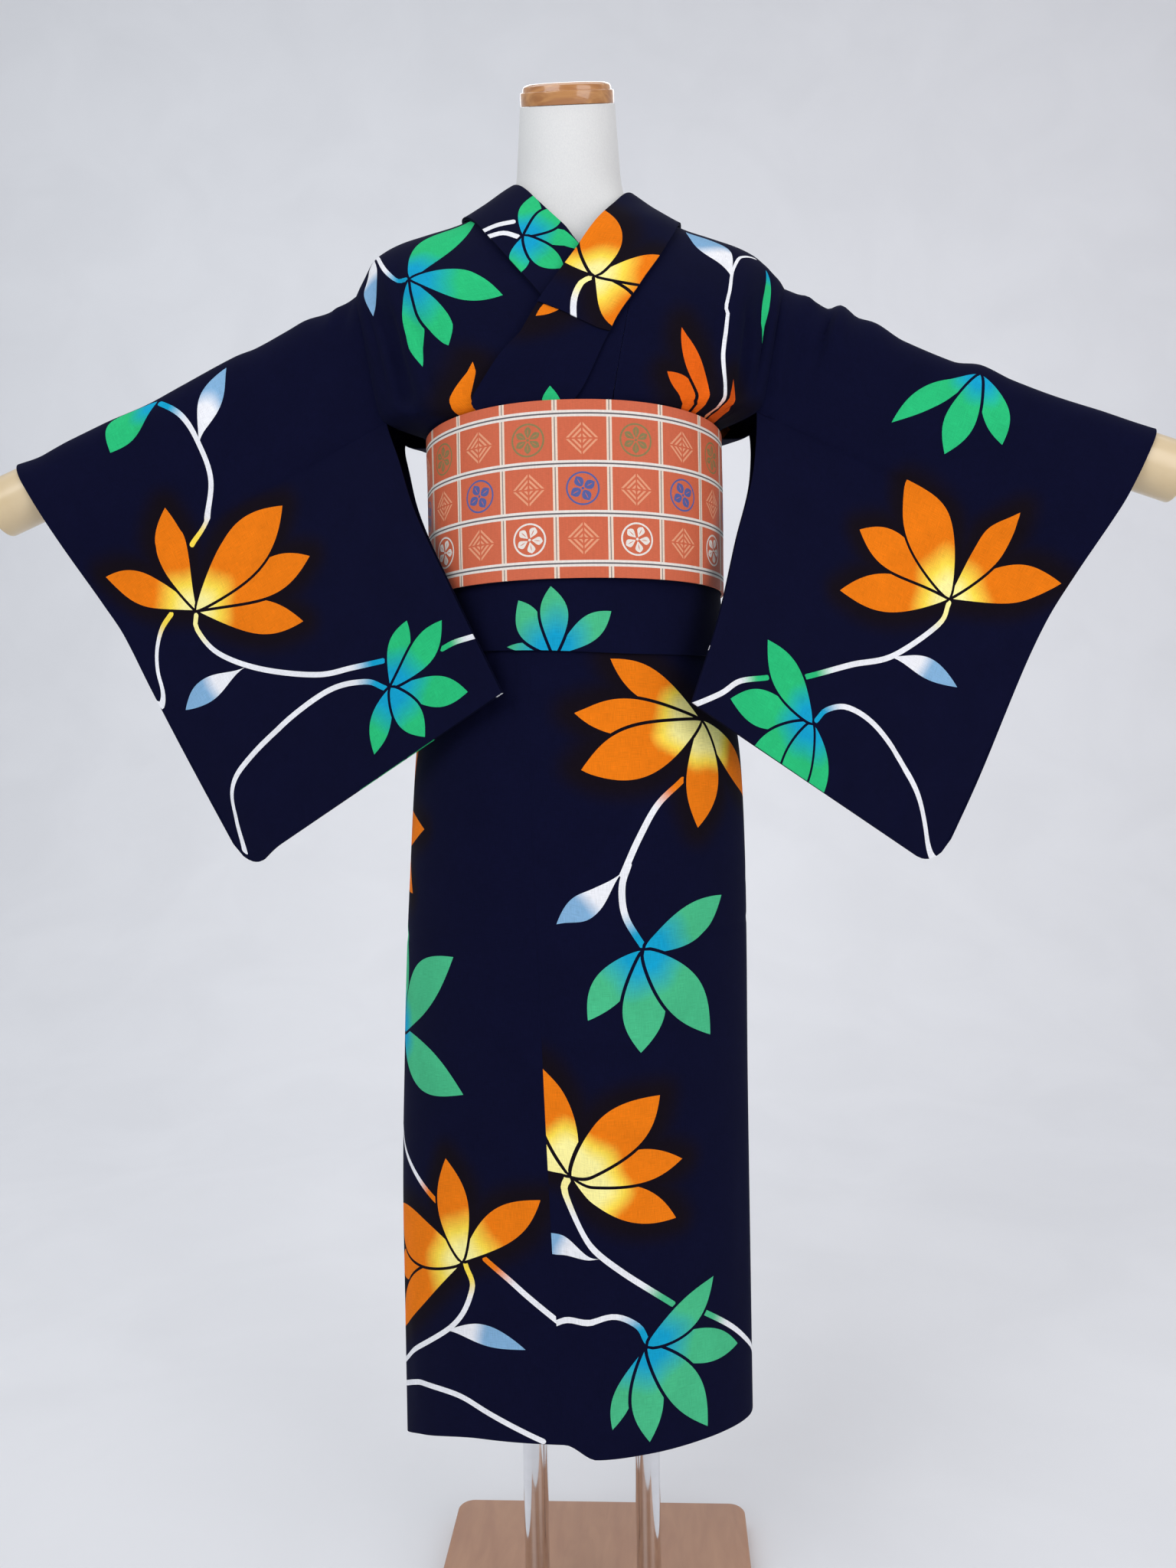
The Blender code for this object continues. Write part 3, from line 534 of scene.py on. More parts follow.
def inside(points, outline):
    """Which points lie inside a closed outline, by counting the edges they look across."""
    low, high = outline.min(0), outline.max(0)
    found = np.zeros(len(points), bool)
    near = np.flatnonzero(((points > low) & (points < high)).all(1))
    x, y = points[near, 0][:, None], points[near, 1][:, None]
    x0, y0 = outline.T
    x1, y1 = np.roll(outline, -1, 0).T
    level = np.where(y1 == y0, 1e-12, y1 - y0)
    crosses = ((y0 > y) != (y1 > y)) & (x < (x1 - x0) * (y - y0) / level + x0)
    found[near] = crosses.sum(1) % 2 == 1
    return found


def border(width, length):
    across, along = round(width / PITCH), round(length / PITCH)
    low = [(width * i / across, 0) for i in range(across)]
    right = [(width, length * i / along) for i in range(along)]
    high = [(width - width * i / across, length) for i in range(across)]
    left = [(0, length - length * i / along) for i in range(along)]
    return np.array(low + right + high + left)


def staggered(width, length):
    rows = round(length / (PITCH * math.sqrt(0.75)))
    columns = round(width / PITCH)
    points = []
    for row in range(1, rows):
        shift = 0.25 if row % 2 else -0.25
        x = (np.arange(columns) + 0.5 + shift) * width / columns
        keep = (x > 0.2 * PITCH) & (x < width - 0.2 * PITCH)
        points.append(np.stack([x[keep], np.full(keep.sum(), length * row / rows)], -1))
    return np.concatenate(points)


def distance_to(lines, points):
    """How far each point lies from the nearest mark of some lines."""
    marks = np.concatenate(lines)
    tree = kdtree.KDTree(len(marks))
    for i, mark in enumerate(marks):
        tree.insert((*mark, 0), i)
    tree.balance()
    return np.array([tree.find((*point, 0))[2] for point in points])


def away_from(points, lines):
    """The points that don't crowd the outlines."""
    if not lines:
        return points
    return points[distance_to(lines, points) > CLEAR_OF_OUTLINE * PITCH]


def triangulated(width, length, lines):
    """Points and triangles of a flat panel whose triangles follow the printed lines."""
    rim = border(width, length)
    verts = [Vector(point) for point in rim]
    edges = []
    for line in lines:
        first, count = len(verts), len(line)
        verts += [Vector(point) for point in line]
        edges += [(first + i, first + (i + 1) % count) for i in range(count)]
    verts += [Vector(point) for point in away_from(staggered(width, length), lines)]
    loop = list(range(len(rim)))
    made = geometry.delaunay_2d_cdt(verts, edges, [loop], 1, 1e-6)
    flat, faces = np.array([tuple(point) for point in made[0]]), np.array(made[2])
    middle = flat[faces].mean(1)
    faces = faces[((middle > 0) & (middle < (width, length))).all(1)]
    used, faces = np.unique(faces, return_inverse=True)
    return flat[used], faces.reshape(-1, 3)


def touches(outline, size):
    low, high = outline.min(0), outline.max(0)
    return bool((high > 0).all() and (low < size).all())


def ground_dye(flat, prints, ground):
    """The ground's dye. It is browner beside the warm petals, whose dye runs under it."""
    warm = [one.outline for one in prints if one.warm]
    if not warm:
        return np.tile(np.array(ground), (len(flat), 1))
    smoke = ease(*SMOKE_FADES, distance_to(warm, flat))[:, None]
    return np.array(ground) * (1 - smoke) + np.array(SMOKE_DYE) * smoke


def dyed(flat, faces, prints, ground):
    """The dye at each face's corners. The prints in front come first."""
    middle = flat[faces].mean(1)
    corners = flat[faces].reshape(-1, 2)
    color = ground_dye(flat, prints, ground)[faces].reshape(-1, 3)
    free = np.ones(len(faces), bool)
    for one in prints:
        covered = inside(middle, one.outline) & free
        rows = (np.flatnonzero(covered)[:, None] * 3 + np.arange(3)).ravel()
        color[rows] = one.dye(corners[rows])
        free &= ~covered
        if one.halo is not None:
            free &= ~inside(middle, one.halo)
    return color


def alone(piece):
    """Selects one piece and nothing else, since an operator acts on all that is selected."""
    bpy.ops.object.select_all(action="DESELECT")
    piece.select_set(True)
    bpy.context.view_layer.objects.active = piece


def apply_all(piece):
    alone(piece)
    for modifier in list(piece.modifiers):
        bpy.ops.object.modifier_apply(modifier=modifier.name)


def smooth(piece, degrees=40):
    alone(piece)
    bpy.ops.object.shade_smooth_by_angle(angle=math.radians(degrees))
    piece.select_set(False)


CREASE_STARTS = (-0.12, 0.35)  # of a crease's length, where it swells
CREASE_ENDS = (0.55, 1.12)  # and where it dies away
RIM_CALMS = (0.002, 0.055)  # the waves grow over this distance from the rim
LEVEL_CALMS = (0.070, 0.160)  # and over this one from a level that lies still


class Folds:
    """Creases, each from one flat point to another, over long shallow waves of a height.

    A crease's height is over 0 for a ridge and under 0 for a trough, and bow bends it aside. The
    waves die out at the rim, and along a level that must lie still.
    """

    def __init__(self, *creases, waves=0.0, still=None):
        self.creases, self.waves, self.still = creases, waves, still

    def lift(self, flat, size):
        total = self.waves * self.wave(flat, size)
        for x0, y0, x1, y1, width, height, bow in self.creases:
            start, run = np.array((x0, y0)), np.array((x1 - x0, y1 - y0))
            length = math.hypot(*run)
            along = (flat - start) @ run / length**2
            aside = (flat - start) @ np.array((-run[1], run[0])) / length
            aside = aside - bow * np.clip(1 - (2 * along - 1) ** 2, 0, 1)
            spread = width * (0.75 + 0.5 * np.clip(along, 0, 1))
            fade = ease(*CREASE_STARTS, along) * (1 - ease(*CREASE_ENDS, along))
            total += height * np.exp(-((aside / spread) ** 2)) * fade
        return total

    def wave(self, flat, size):
        x, y = flat.T
        rim = np.minimum(np.minimum(x, size[0] - x), np.minimum(y, size[1] - y))
        calm = ease(*RIM_CALMS, rim)
        if self.still is not None:
            calm = calm * ease(*LEVEL_CALMS, np.abs(y - self.still))
        wave = 0.5 * np.sin(31 * x + 9 * y + 0.7) + 0.3 * np.sin(17 * y - 23 * x + 2.1)
        return calm * (wave + 0.2 * np.sin(47 * x + 13 * y))


def cut_cloth(name, size, drape, wall, prints=(), folds=None, finish=cotton, ground=NAVY_DYE):
    """A panel of cloth of a flat size, triangulated, dyed, draped and given its wall."""
    width, length = size
    prints = [one for one in prints if touches(one.outline, size)]
    lines = [one.outline for one in prints] + [one.halo for one in prints if one.halo is not None]
    flat, faces = triangulated(width, length, lines)
    turned = np.cross(flat[faces[:, 1]] - flat[faces[:, 0]], flat[faces[:, 2]] - flat[faces[:, 0]])
    faces[turned < 0] = faces[turned < 0][:, ::-1]
    lift = folds.lift(flat, size) if folds else np.zeros(len(flat))
    points = drape(flat[:, 0] / width, flat[:, 1] / length, lift)
    mesh = bpy.data.meshes.new(name)
    mesh.from_pydata(points.tolist(), [], faces.tolist())
    layer = mesh.uv_layers.new(name="flat")
    layer.data.foreach_set("uv", flat[faces].reshape(-1, 2).astype(np.float32).ravel())
    color = dyed(flat, faces, prints, ground)
    dye = mesh.attributes.new("dye", "FLOAT_COLOR", "CORNER")
    rgba = np.concatenate([color, np.ones((len(color), 1))], 1)
    dye.data.foreach_set("color", rgba.astype(np.float32).ravel())
    mesh.materials.append(finish)
    piece = bpy.data.objects.new(name, mesh)
    bpy.context.scene.collection.objects.link(piece)
    solid = piece.modifiers.new("wall", "SOLIDIFY")
    solid.thickness = wall
    solid.offset = 1
    apply_all(piece)
    smooth(piece)
    return piece


def dress(piece, node):
    """The piece stands for its solid and rides with it."""
    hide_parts(node)
    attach(piece, "root")
    print(piece.name, "for", node, len(piece.data.polygons), "faces")


print("a flat panel of 0.1 x 0.1 m has", len(triangulated(0.1, 0.1, [])[1]), "triangles")

# %% [markdown]
# ## The collar
#
# The collar is one long folded band. It starts under the sash, runs up the right front and round
# the neck, and down the left front under the right one. A second, shorter band is sewn over it
# round the neck. Each edge follows a row of points on the chest.

# %% The collar's edges
COLLAR = Table(
    "order face outer_x outer_z inner_x inner_z back up",
    (0, -1, -0.0120, 1.1900, -0.0980, 1.1900, 0, 0),
    (1, -1, 0.0110, 1.2200, -0.0830, 1.2210, 0, 0),
    (2, -1, 0.0285, 1.2510, -0.0530, 1.2640, 0, 0),
    (3, -1, 0.0420, 1.2790, -0.0210, 1.3095, 0, 0),
    (4, -1, 0.0680, 1.3210, 0.0025, 1.3455, 0, 0),
    (5, -1, 0.0880, 1.3560, 0.0205, 1.3765, 0, 0),
    (6, -1, 0.1030, 1.3930, 0.0465, 1.4185, 0, 0),
    (7, 0, 0.1080, 1.4150, 0.0640, 1.4475, 0, 0.001),
    (8, 1, 0.0920, 1.3850, 0.0510, 1.4370, 0.009, 0.003),
    (9, 1, 0.0000, 1.3750, 0.0000, 1.4430, 0.020, 0.002),
    (10, 1, -0.0920, 1.3930, -0.0490, 1.4430, 0.009, 0.004),
    (11, 0, -0.1050, 1.4300, -0.0575, 1.4560, 0, 0.003),
    (12, -1, -0.0750, 1.3900, -0.0270, 1.4225, 0, 0),
    (13, -1, -0.0460, 1.3510, 0.0025, 1.3865, 0, 0),
    (14, -1, -0.0260, 1.3250, 0.0215, 1.3595, 0, 0),
    (15, -1, -0.0050, 1.2960, 0.0460, 1.3340, 0, 0),
    (16, -1, 0.0100, 1.2750, 0.0620, 1.3120, 0, 0),
)
COLLAR_WIDTH = 0.070
COLLAR_LIFT = CLOTH + 0.0011
OVER_COLLAR_LIFT = COLLAR_LIFT + COLLAR_WALL + 0.0005
LAP_RISES = (1.225, 1.262)  # the right front rises over both collars between these heights,
LAP_ENDS = (1.385, 1.425)  # comes down to the shoulder between these,
LAP_FADES = (0.070, 0.120)  # and comes down sideways between these
COLLAR_STEPS = 321


def collar_rows(edge):
    """side and row on the chest of each row of one edge of the collar."""
    read = dict(zip(COLLAR.names, COLLAR.rows.T))
    face, x, z = read["face"], read[edge + "_x"], read[edge + "_z"]
    side = chest_side(x, z)
    row = face * chest_row(side, z)
    return Table("order side row", *zip(read["order"], side, row))


OUTER_EDGE = collar_rows("outer")
INNER_EDGE = collar_rows("inner")


def front_lift(side, row, right):
    """The lift of the right or left front above the chest's own surface."""
    x, _, z = np.moveaxis(chest(side, row), -1, 0)
    over = OVER_FRONT + (OVER_TWO_COLLARS - OVER_FRONT) * ease(*LAP_RISES, z)
    across = 1 - ease(*LAP_FADES, x)
    return np.where(row < 0, over * across * (1 - ease(*LAP_ENDS, z)), 0) * right


def collar_points(order, width, lift):
    """Points of the collar. width runs from its fold, at 0, to its seam, at 1."""
    inner_side, outer_side = INNER_EDGE.read("side", order), OUTER_EDGE.read("side", order)
    inner_row, outer_row = INNER_EDGE.read("row", order), OUTER_EDGE.read("row", order)
    side = inner_side + (outer_side - inner_side) * width
    row = inner_row + (outer_row - inner_row) * width
    under = front_lift(side, row, order < 9)
    points = lifted(chest, side, row, under + lift)
    points[..., 1] += COLLAR.read("back", order) * (1 - width)
    points[..., 2] += COLLAR.read("up", order) * (1 - width) ** 2
    return points


collar_order = np.linspace(0, COLLAR.rows[-1, 0], COLLAR_STEPS)
collar_middle = collar_points(collar_order, np.full(COLLAR_STEPS, 0.5), 0)
collar_steps = np.linalg.norm(np.diff(collar_middle, axis=0), axis=1)
collar_run = np.concatenate([[0], np.cumsum(collar_steps)])
print("collar's length from end to end:", round(collar_run[-1], 3))


# %% Cut the collar and the over-collar
def collar_band(first, last, lift):
    """Size and drape of the collar between two orders."""
    start, end = np.interp((first, last), collar_order, collar_run)

    def place(s, t, crease):
        order = np.interp(start + (end - start) * t, collar_run, collar_order)
        return collar_points(order, s, lift + crease)

    return (COLLAR_WIDTH, end - start), place


OVER_START, OVER_END = 2.94, 14.667  # orders of the collar's rows
collar_size, collar_place = collar_band(0, COLLAR.rows[-1, 0], COLLAR_LIFT)
over_size, over_place = collar_band(OVER_START, OVER_END, OVER_COLLAR_LIFT)
print("collar:", np.round(collar_size, 3), "over-collar:", np.round(over_size, 3))

# %% [markdown]
# ## The body panels
#
# Each half of the upper body is one cloth from the front waist over the shoulder to the back
# waist. The okumi is the overlap panel between the right front and the collar.

# %% Edges of the upper body's halves
INSET = 0.060  # how far a front runs on under the collar, as a side
LEVELS = (1.10, 1.15, 1.20, 1.2135, 1.2165, 1.221, 1.229, 1.25, 1.28)
OVER_SHOULDER = (0.94, 0.88, 0.855, 0.76, 0.65, 0.54, 0.43, 0.32, 0.21, 0.11, 0.04)
FRONT_ROWS = np.array([*(-chest_row(0, np.array(LEVELS))), *(-np.array(OVER_SHOULDER)), 0])
BODY_ROWS = np.concatenate([FRONT_ROWS, -FRONT_ROWS[-2::-1]])
WAIST_ROW = BODY_ROWS[-1]
OKUMI_SEAM = Table("z x", (1.095, 0.020), (1.218, 0.043), (1.318, 0.0615), (1.330, 0.0640))
NECK_ROW = 0.62
NECK_SIDE = Table("row side", (0.00, 0.42), (0.30, 0.385), (0.60, 0.36))
LEFT_EDGE = Table("z x", (1.095, 0.034), (1.250, 0.034), (1.290, 0.012))
SEAM_ROW = 0.87
SIDE_CLOSES = (1.2140, 1.2215)  # below these heights the armhole is closed to the side


def front_edge(row, right):
    """The side at which a front's inner edge lies on a row."""
    if abs(row) < (SEAM_ROW if right else 1.01):
        path = OUTER_EDGE.rows[4:8] if right else OUTER_EDGE.rows[15:10:-1]
        under = Table("row side", *zip(path[:, 2], path[:, 1]))
        return under.read("side", row) + (-INSET if right else INSET)
    side = 0.2
    for _ in range(12):
        z = chest(np.array(side), np.array(row))[2]
        x = OKUMI_SEAM.read("x", z) + SEAM / 2 if right else LEFT_EDGE.read("x", z)
        side = chest_side(x, z)
    return side


def body_edges(right):
    inner = np.empty(len(BODY_ROWS))
    for i, row in enumerate(BODY_ROWS):
        if row <= 0:
            inner[i] = front_edge(row, right)
        elif row < NECK_ROW:
            inner[i] = NECK_SIDE.read("side", row) * (1 if right else -1)
        else:
            inner[i] = SEAM / 2 / SHOULDER_HALF * (1 if right else -1)
    level = HIP_Z - ROW_BELOW_HIPS * (np.abs(BODY_ROWS) - 1)
    low = 1 - ease(*SIDE_CLOSES, level)
    outer = ARMHOLE_SIDE + (SIDE_EDGE - ARMHOLE_SIDE) * low
    return (inner, outer) if right else (-outer, inner)


print("rows of the upper body:", len(BODY_ROWS))

# %% Drape of the upper body's halves
BODY_SIZE = (0.200, 0.800)


def body_panel(right):
    """Drape of one half."""
    start, end = body_edges(right)

    def angles(row):
        return np.arcsin(np.interp(row, BODY_ROWS, start)), np.arcsin(np.interp(row, BODY_ROWS, end))

    def place(s, t, crease):
        row = WAIST_ROW * (2 * t - 1)
        low, high = angles(row)
        side = np.sin(low + (high - low) * s)
        return lifted(chest, side, row, front_lift(side, row, right) + crease)

    return place


OKUMI_LOW_Z, OKUMI_HIGH_Z = 1.100, 1.3155
OKUMI_EDGE = Table("z x", (1.095, -0.060), (1.190, -0.050), (1.220, -0.020), (1.318, 0.046))
OKUMI_SIZE = (0.075, OKUMI_HIGH_Z - OKUMI_LOW_Z)


def okumi_place(s, t, crease):
    z = OKUMI_LOW_Z + (OKUMI_HIGH_Z - OKUMI_LOW_Z) * t
    low = chest_side(OKUMI_EDGE.read("x", z), z)
    high = chest_side(OKUMI_SEAM.read("x", z) - SEAM / 2, z)
    side = low + (high - low) * s
    row = -chest_row(side, z)
    return lifted(chest, side, row, front_lift(side, row, True) + crease)


left_place = body_panel(False)
right_place = body_panel(True)
print("left shoulder point:", np.round(left_place(np.array([0.5]), np.array([0.5]), 0), 3))

# %% [markdown]
# ## The sleeves
#
# A sleeve is one cloth folded over the arm. It is sewn to the armhole for a third of its depth and
# hangs free below, as a woman's yukata sleeve does. Its outer edge is open at the cuff and sewn
# below, round a small corner. The drape is a straight line between the two edges.

# %% Sizes of the sleeves
ARMHOLE_DROP = 0.163
SLEEVE_DROP = 0.495
SLEEVE_CORNER = 0.034
CUFF_OPENING = 0.215
SLEEVE_TUCK = 0.0003  # how far a sleeve is tucked into its armhole
PLY_HALF = 0.0008
SEWN_LOW_Z = 1.2245  # below this the sleeve's edge leaves the chest
BAR_RADIUS = 0.0290
BAR_CLEAR = 0.0010
SLEEVE_WIDTH = 0.385
SLEEVE_SIZE = (SLEEVE_WIDTH, 2 * SLEEVE_DROP)
LEFT_FREE_EDGE = Table(
    "cloth x front_y back_y z",
    (0.163, -0.1800, -0.0430, 0.0400, 1.2245),
    (0.215, -0.1640, -0.0640, -0.0150, 1.1860),
    (0.270, -0.1480, -0.0850, -0.0560, 1.1390),
    (0.360, -0.1110, -0.1190, -0.1080, 1.0620),
    (0.495, -0.0590, -0.1460, -0.1400, 0.9570),
)
RIGHT_FREE_EDGE = Table(
    "cloth x front_y back_y z",
    (0.163, 0.1800, -0.0430, 0.0400, 1.2245),
    (0.225, 0.1740, -0.0580, -0.0080, 1.1680),
    (0.305, 0.1560, -0.0840, -0.0600, 1.1000),
    (0.390, 0.1370, -0.1130, -0.1020, 1.0250),
    (0.495, 0.1100, -0.1460, -0.1400, 0.9450),
)
CUFFS = Table(
    "shoulder x z slope corner_x corner_z dent",
    (-1, -0.572, 1.2020, 22.80, -0.351, 0.7840, 0.002),
    (1, 0.571, 1.2060, 20.30, 0.354, 0.7790, 0.014),
)
CUFF_IN = {
    -1: Table(
        "cloth inward",
        (0.000, 0.0075), (0.085, 0.0105), (0.180, 0.0130), (0.215, 0.0150), (0.276, 0.0130),
        (0.350, 0.0120), (0.495, 0.0110),
    ),
    1: Table(
        "cloth inward",
        (0.000, 0.0060), (0.035, 0.0058), (0.070, 0.0030), (0.105, 0.0000), (0.175, -0.0010),
        (0.225, 0.0012), (0.330, 0.0045), (0.420, 0.0020), (0.495, 0.0000),
    ),
}
FOLD_DOWN = {
    -1: Table(
        "across down",
        (0.00, 0.0013), (0.04, 0.0042), (0.08, 0.0050), (0.155, 0.0007), (0.20, 0.0022),
        (0.29, 0.0041), (0.35, 0.0020), (0.51, 0.0047), (0.60, 0.0064), (0.73, 0.0038),
        (0.91, 0.0035), (1.00, -0.0014),
    ),
    1: Table(
        "across down",
        (0.00, 0.0000), (0.08, 0.0013), (0.117, 0.0040), (0.158, -0.0046), (0.20, 0.0018),
        (0.24, 0.0004), (0.32, 0.0080), (0.45, 0.0105), (0.53, 0.0037), (0.61, 0.0073),
        (0.69, 0.0079), (0.86, 0.0049), (1.00, 0.0010),
    ),
}
FOLD_REACH = 0.160  # how far down the cloth the fold's own bumps reach
DRAWN_FROM = 0.82  # of the way across, where the cuff's curve starts
ARMHOLE_ROUND = 0.040  # half the armhole's depth at the shoulder
ARMHOLE_LEAVES = (-0.002, 0.030)  # past its drop, where the edge leaves the armhole
DENT_SPREAD = 0.11
CUFF_LOOSE = 0.0012
BAR_PASSED = 0.062  # how far down the cloth the plies start to close below the bar
ROOM_SHARE = 0.6  # of the room between the plies that a trough may take
print("sleeve, flat:", SLEEVE_SIZE)


# %% Edges and drape of the sleeves
def armhole_edge(shoulder, cloth, face):
    """The sleeve's inner edge: on the armhole, then free."""
    side = np.full(cloth.shape, shoulder * ARMHOLE_SIDE)
    top = shoulder_line(side)
    fall = SHOULDER.read("fall", SHOULDER_HALF * ARMHOLE_SIDE)
    over = math.pi / 2 * math.hypot(fall, ARMHOLE_ROUND) / math.sqrt(2)
    angle = np.minimum(cloth / over, 1) * math.pi / 2
    z = top - fall * (1 - np.cos(angle)) - np.maximum(cloth - over, 0)
    row = chest_row(side, np.maximum(z, SEWN_LOW_Z))
    sewn = chest(side, np.where(face < 0, -1, 1) * row)
    sewn[..., 0] -= shoulder * SLEEVE_TUCK
    edge = LEFT_FREE_EDGE if shoulder < 0 else RIGHT_FREE_EDGE
    y = np.where(face < 0, edge.read("front_y", cloth), edge.read("back_y", cloth))
    free = np.stack([edge.read("x", cloth), y, edge.read("z", cloth)], -1)
    away = ease(*ARMHOLE_LEAVES, cloth - ARMHOLE_DROP)[..., None]
    return sewn + (free - sewn) * away


def cuff_edge(shoulder, cloth, face):
    """The sleeve's outer edge: over the bar, open at the cuff, then sewn down to the corner."""
    _, x, z, _, corner_x, corner_z, dent = CUFFS.rows[0 if shoulder < 0 else 1]
    radius = BAR_RADIUS + BAR_CLEAR
    angle = np.minimum(cloth / radius, math.pi / 2)
    drop = radius * (1 - np.cos(angle)) + np.maximum(cloth - radius * math.pi / 2, 0)
    length = SLEEVE_DROP - radius * (math.pi / 2 - 1)
    dented = dent * bump(cloth, CUFF_OPENING, DENT_SPREAD) * -shoulder
    half = (radius + CUFF_LOOSE) * np.sin(angle) * (1 - ease(BAR_PASSED, CUFF_OPENING, cloth))
    half = PLY_HALF + (1 - PLY_HALF / radius) * half
    along = drop / length
    return np.stack(
        [x + (corner_x - x) * along + dented, face * half, z + (corner_z - z) * along], -1
    )


def sleeve_place(shoulder):
    def surface(s, t):
        face = np.where(t < 0.5, -1, 1)
        cloth = np.abs(2 * t - 1) * SLEEVE_DROP
        across = s if shoulder > 0 else 1 - s
        from_edge = np.clip((1 - across) * SLEEVE_WIDTH, 0, SLEEVE_CORNER)
        short = SLEEVE_CORNER - np.sqrt(SLEEVE_CORNER**2 - (SLEEVE_CORNER - from_edge) ** 2)
        cloth = cloth - short * ease(0.30, 1.0, cloth / SLEEVE_DROP)
        inner = armhole_edge(shoulder, cloth, face)
        outer = cuff_edge(shoulder, cloth, face)
        points = inner + (outer - inner) * across[..., None]
        drawn_in = CUFF_IN[shoulder].read("inward", cloth) * ease(DRAWN_FROM, 1, across)
        sunk = FOLD_DOWN[shoulder].read("down", across) * (1 - ease(0, FOLD_REACH, cloth))
        points[..., 0] -= shoulder * drawn_in
        points[..., 2] -= sunk
        return points

    def place(s, t, crease):
        """A trough stops short of the middle between the two plies, so they never cross."""
        room = np.linalg.norm(surface(s, t) - surface(s, 1 - t), axis=-1) / 2
        return lifted(surface, s, t, np.maximum(crease, -ROOM_SHARE * room))

    return place


print("sleeve ends:", np.round(sleeve_place(1)(np.ones(1), np.full(1, 0.5), np.zeros(1)), 3))

# %% [markdown]
# ## The skirt, the waist tuck and the sash
#
# Below the waist the robe is a tube of level ovals, wrapped once and a half round: the right
# front lies over the left. Angles run from the right side (0) by the front (90) and the left (180)
# to the back. The spare length is folded over below the sash as the waist tuck.

# %% Sizes of the skirt
SKIRT = Table(
    "z half_width half_depth middle_x",
    (0.200, 0.1750, 0.0860, -0.0105),
    (0.400, 0.1740, 0.1000, -0.0100),
    (0.577, 0.1715, 0.1150, -0.0080),
    (0.700, 0.1690, 0.1230, -0.0050),
    (0.800, 0.1655, 0.1280, -0.0020),
    (0.890, 0.1605, 0.1305, -0.0003),
    (0.950, 0.1525, 0.1300, 0.0000),
    (1.000, 0.1415, 0.1295, 0.0000),
    (1.080, 0.1360, 0.1280, 0.0000),
    (1.100, 0.1355, 0.1275, 0.0000),
)
OKUMI_SEAM_ANGLE = Table("z angle", (0.200, 93.0), (0.610, 98.0), (0.910, 103.0), (1.100, 104.0))
HEMS = Table(
    "angle over under",
    (0, 0.238, 0.244),
    (30, 0.237, 0.248),
    (45, 0.235, 0.250),
    (65, 0.230, 0.252),
    (83, 0.2265, 0.254),
    (93, 0.2420, 0.256),
    (120, 0.2400, 0.254),
    (150, 0.2250, 0.242),
    (186, 0.2050, 0.214),
    (270, 0.214, 0.214),
    (360, 0.238, 0.238),
)
SKIRT_RADIUS = 0.160  # of the flat print's arcs
SKIRT_LENGTH = 0.870
SEAM_LOW_Z = 0.225  # the overlap's seam is read from here up
RIGHT_EDGE_RISES = (2, 17)  # degrees over which the right front rises onto the left one
EDGE = 0.01  # degrees kept free at a seam
TUCK_TOP_Z = 1.0975
TUCK_LENGTH = 0.102
TUCK_LIFT = LAYER + CLOTH + 0.0008
TUCK_LOW = Table("angle z", (0, 0.9910), (60, 0.9905), (105, 0.9955), (186, 0.9995), (360, 0.9910))
print("skirt, round the hips:", round(2 * math.pi * SKIRT_RADIUS, 3))


# %% Drape of the skirt
def skirt(angle, z):
    turns = np.radians(angle)
    x = SKIRT.read("middle_x", z) + SKIRT.read("half_width", z) * np.cos(turns)
    return np.stack([x, -SKIRT.read("half_depth", z) * np.sin(turns), z], -1)


def skirt_lifted(angle, z, lift):
    turns = np.radians(angle)
    out = np.stack(
        [
            np.cos(turns) * SKIRT.read("half_depth", z),
            -np.sin(turns) * SKIRT.read("half_width", z),
            np.zeros(z.shape),
        ],
        -1,
    )
    out = out / np.linalg.norm(out, axis=-1, keepdims=True)
    return skirt(angle, z) + out * np.asarray(lift)[..., None]


def okumi_seam(high):
    return OKUMI_SEAM_ANGLE.read("angle", SEAM_LOW_Z + (SKIRT_TOP_Z - SEAM_LOW_Z) * high)


def skirt_panel(start, end, layer, hem):
    """Size and drape of a panel between two edges, given for each height."""
    width = math.radians(abs(np.max(end(np.zeros(1))) - np.min(start(np.zeros(1))))) * SKIRT_RADIUS
    size = (width, SKIRT_LENGTH)

    def place(s, t, crease):
        high = 1 - t
        angle = start(high) + (end(high) - start(high)) * s
        low = HEMS.read(hem, angle)
        z = low + (SKIRT_TOP_Z - low) * high
        return skirt_lifted(angle, z, LAYER * layer(angle) + crease)

    return size, place


def fixed(angle):
    return lambda high: np.full(np.shape(high), float(angle))


def level_layer(count):
    return lambda angle: np.full(np.shape(angle), float(count))


def tuck_panel(start, end):
    size = (math.radians(end - start) * SKIRT_RADIUS, TUCK_LENGTH)

    def place(s, t, crease):
        angle = start + (end - start) * s
        low = TUCK_LOW.read("z", angle)
        return skirt_lifted(angle, TUCK_TOP_Z - (TUCK_TOP_Z - low) * t, TUCK_LIFT + crease)

    return size, place


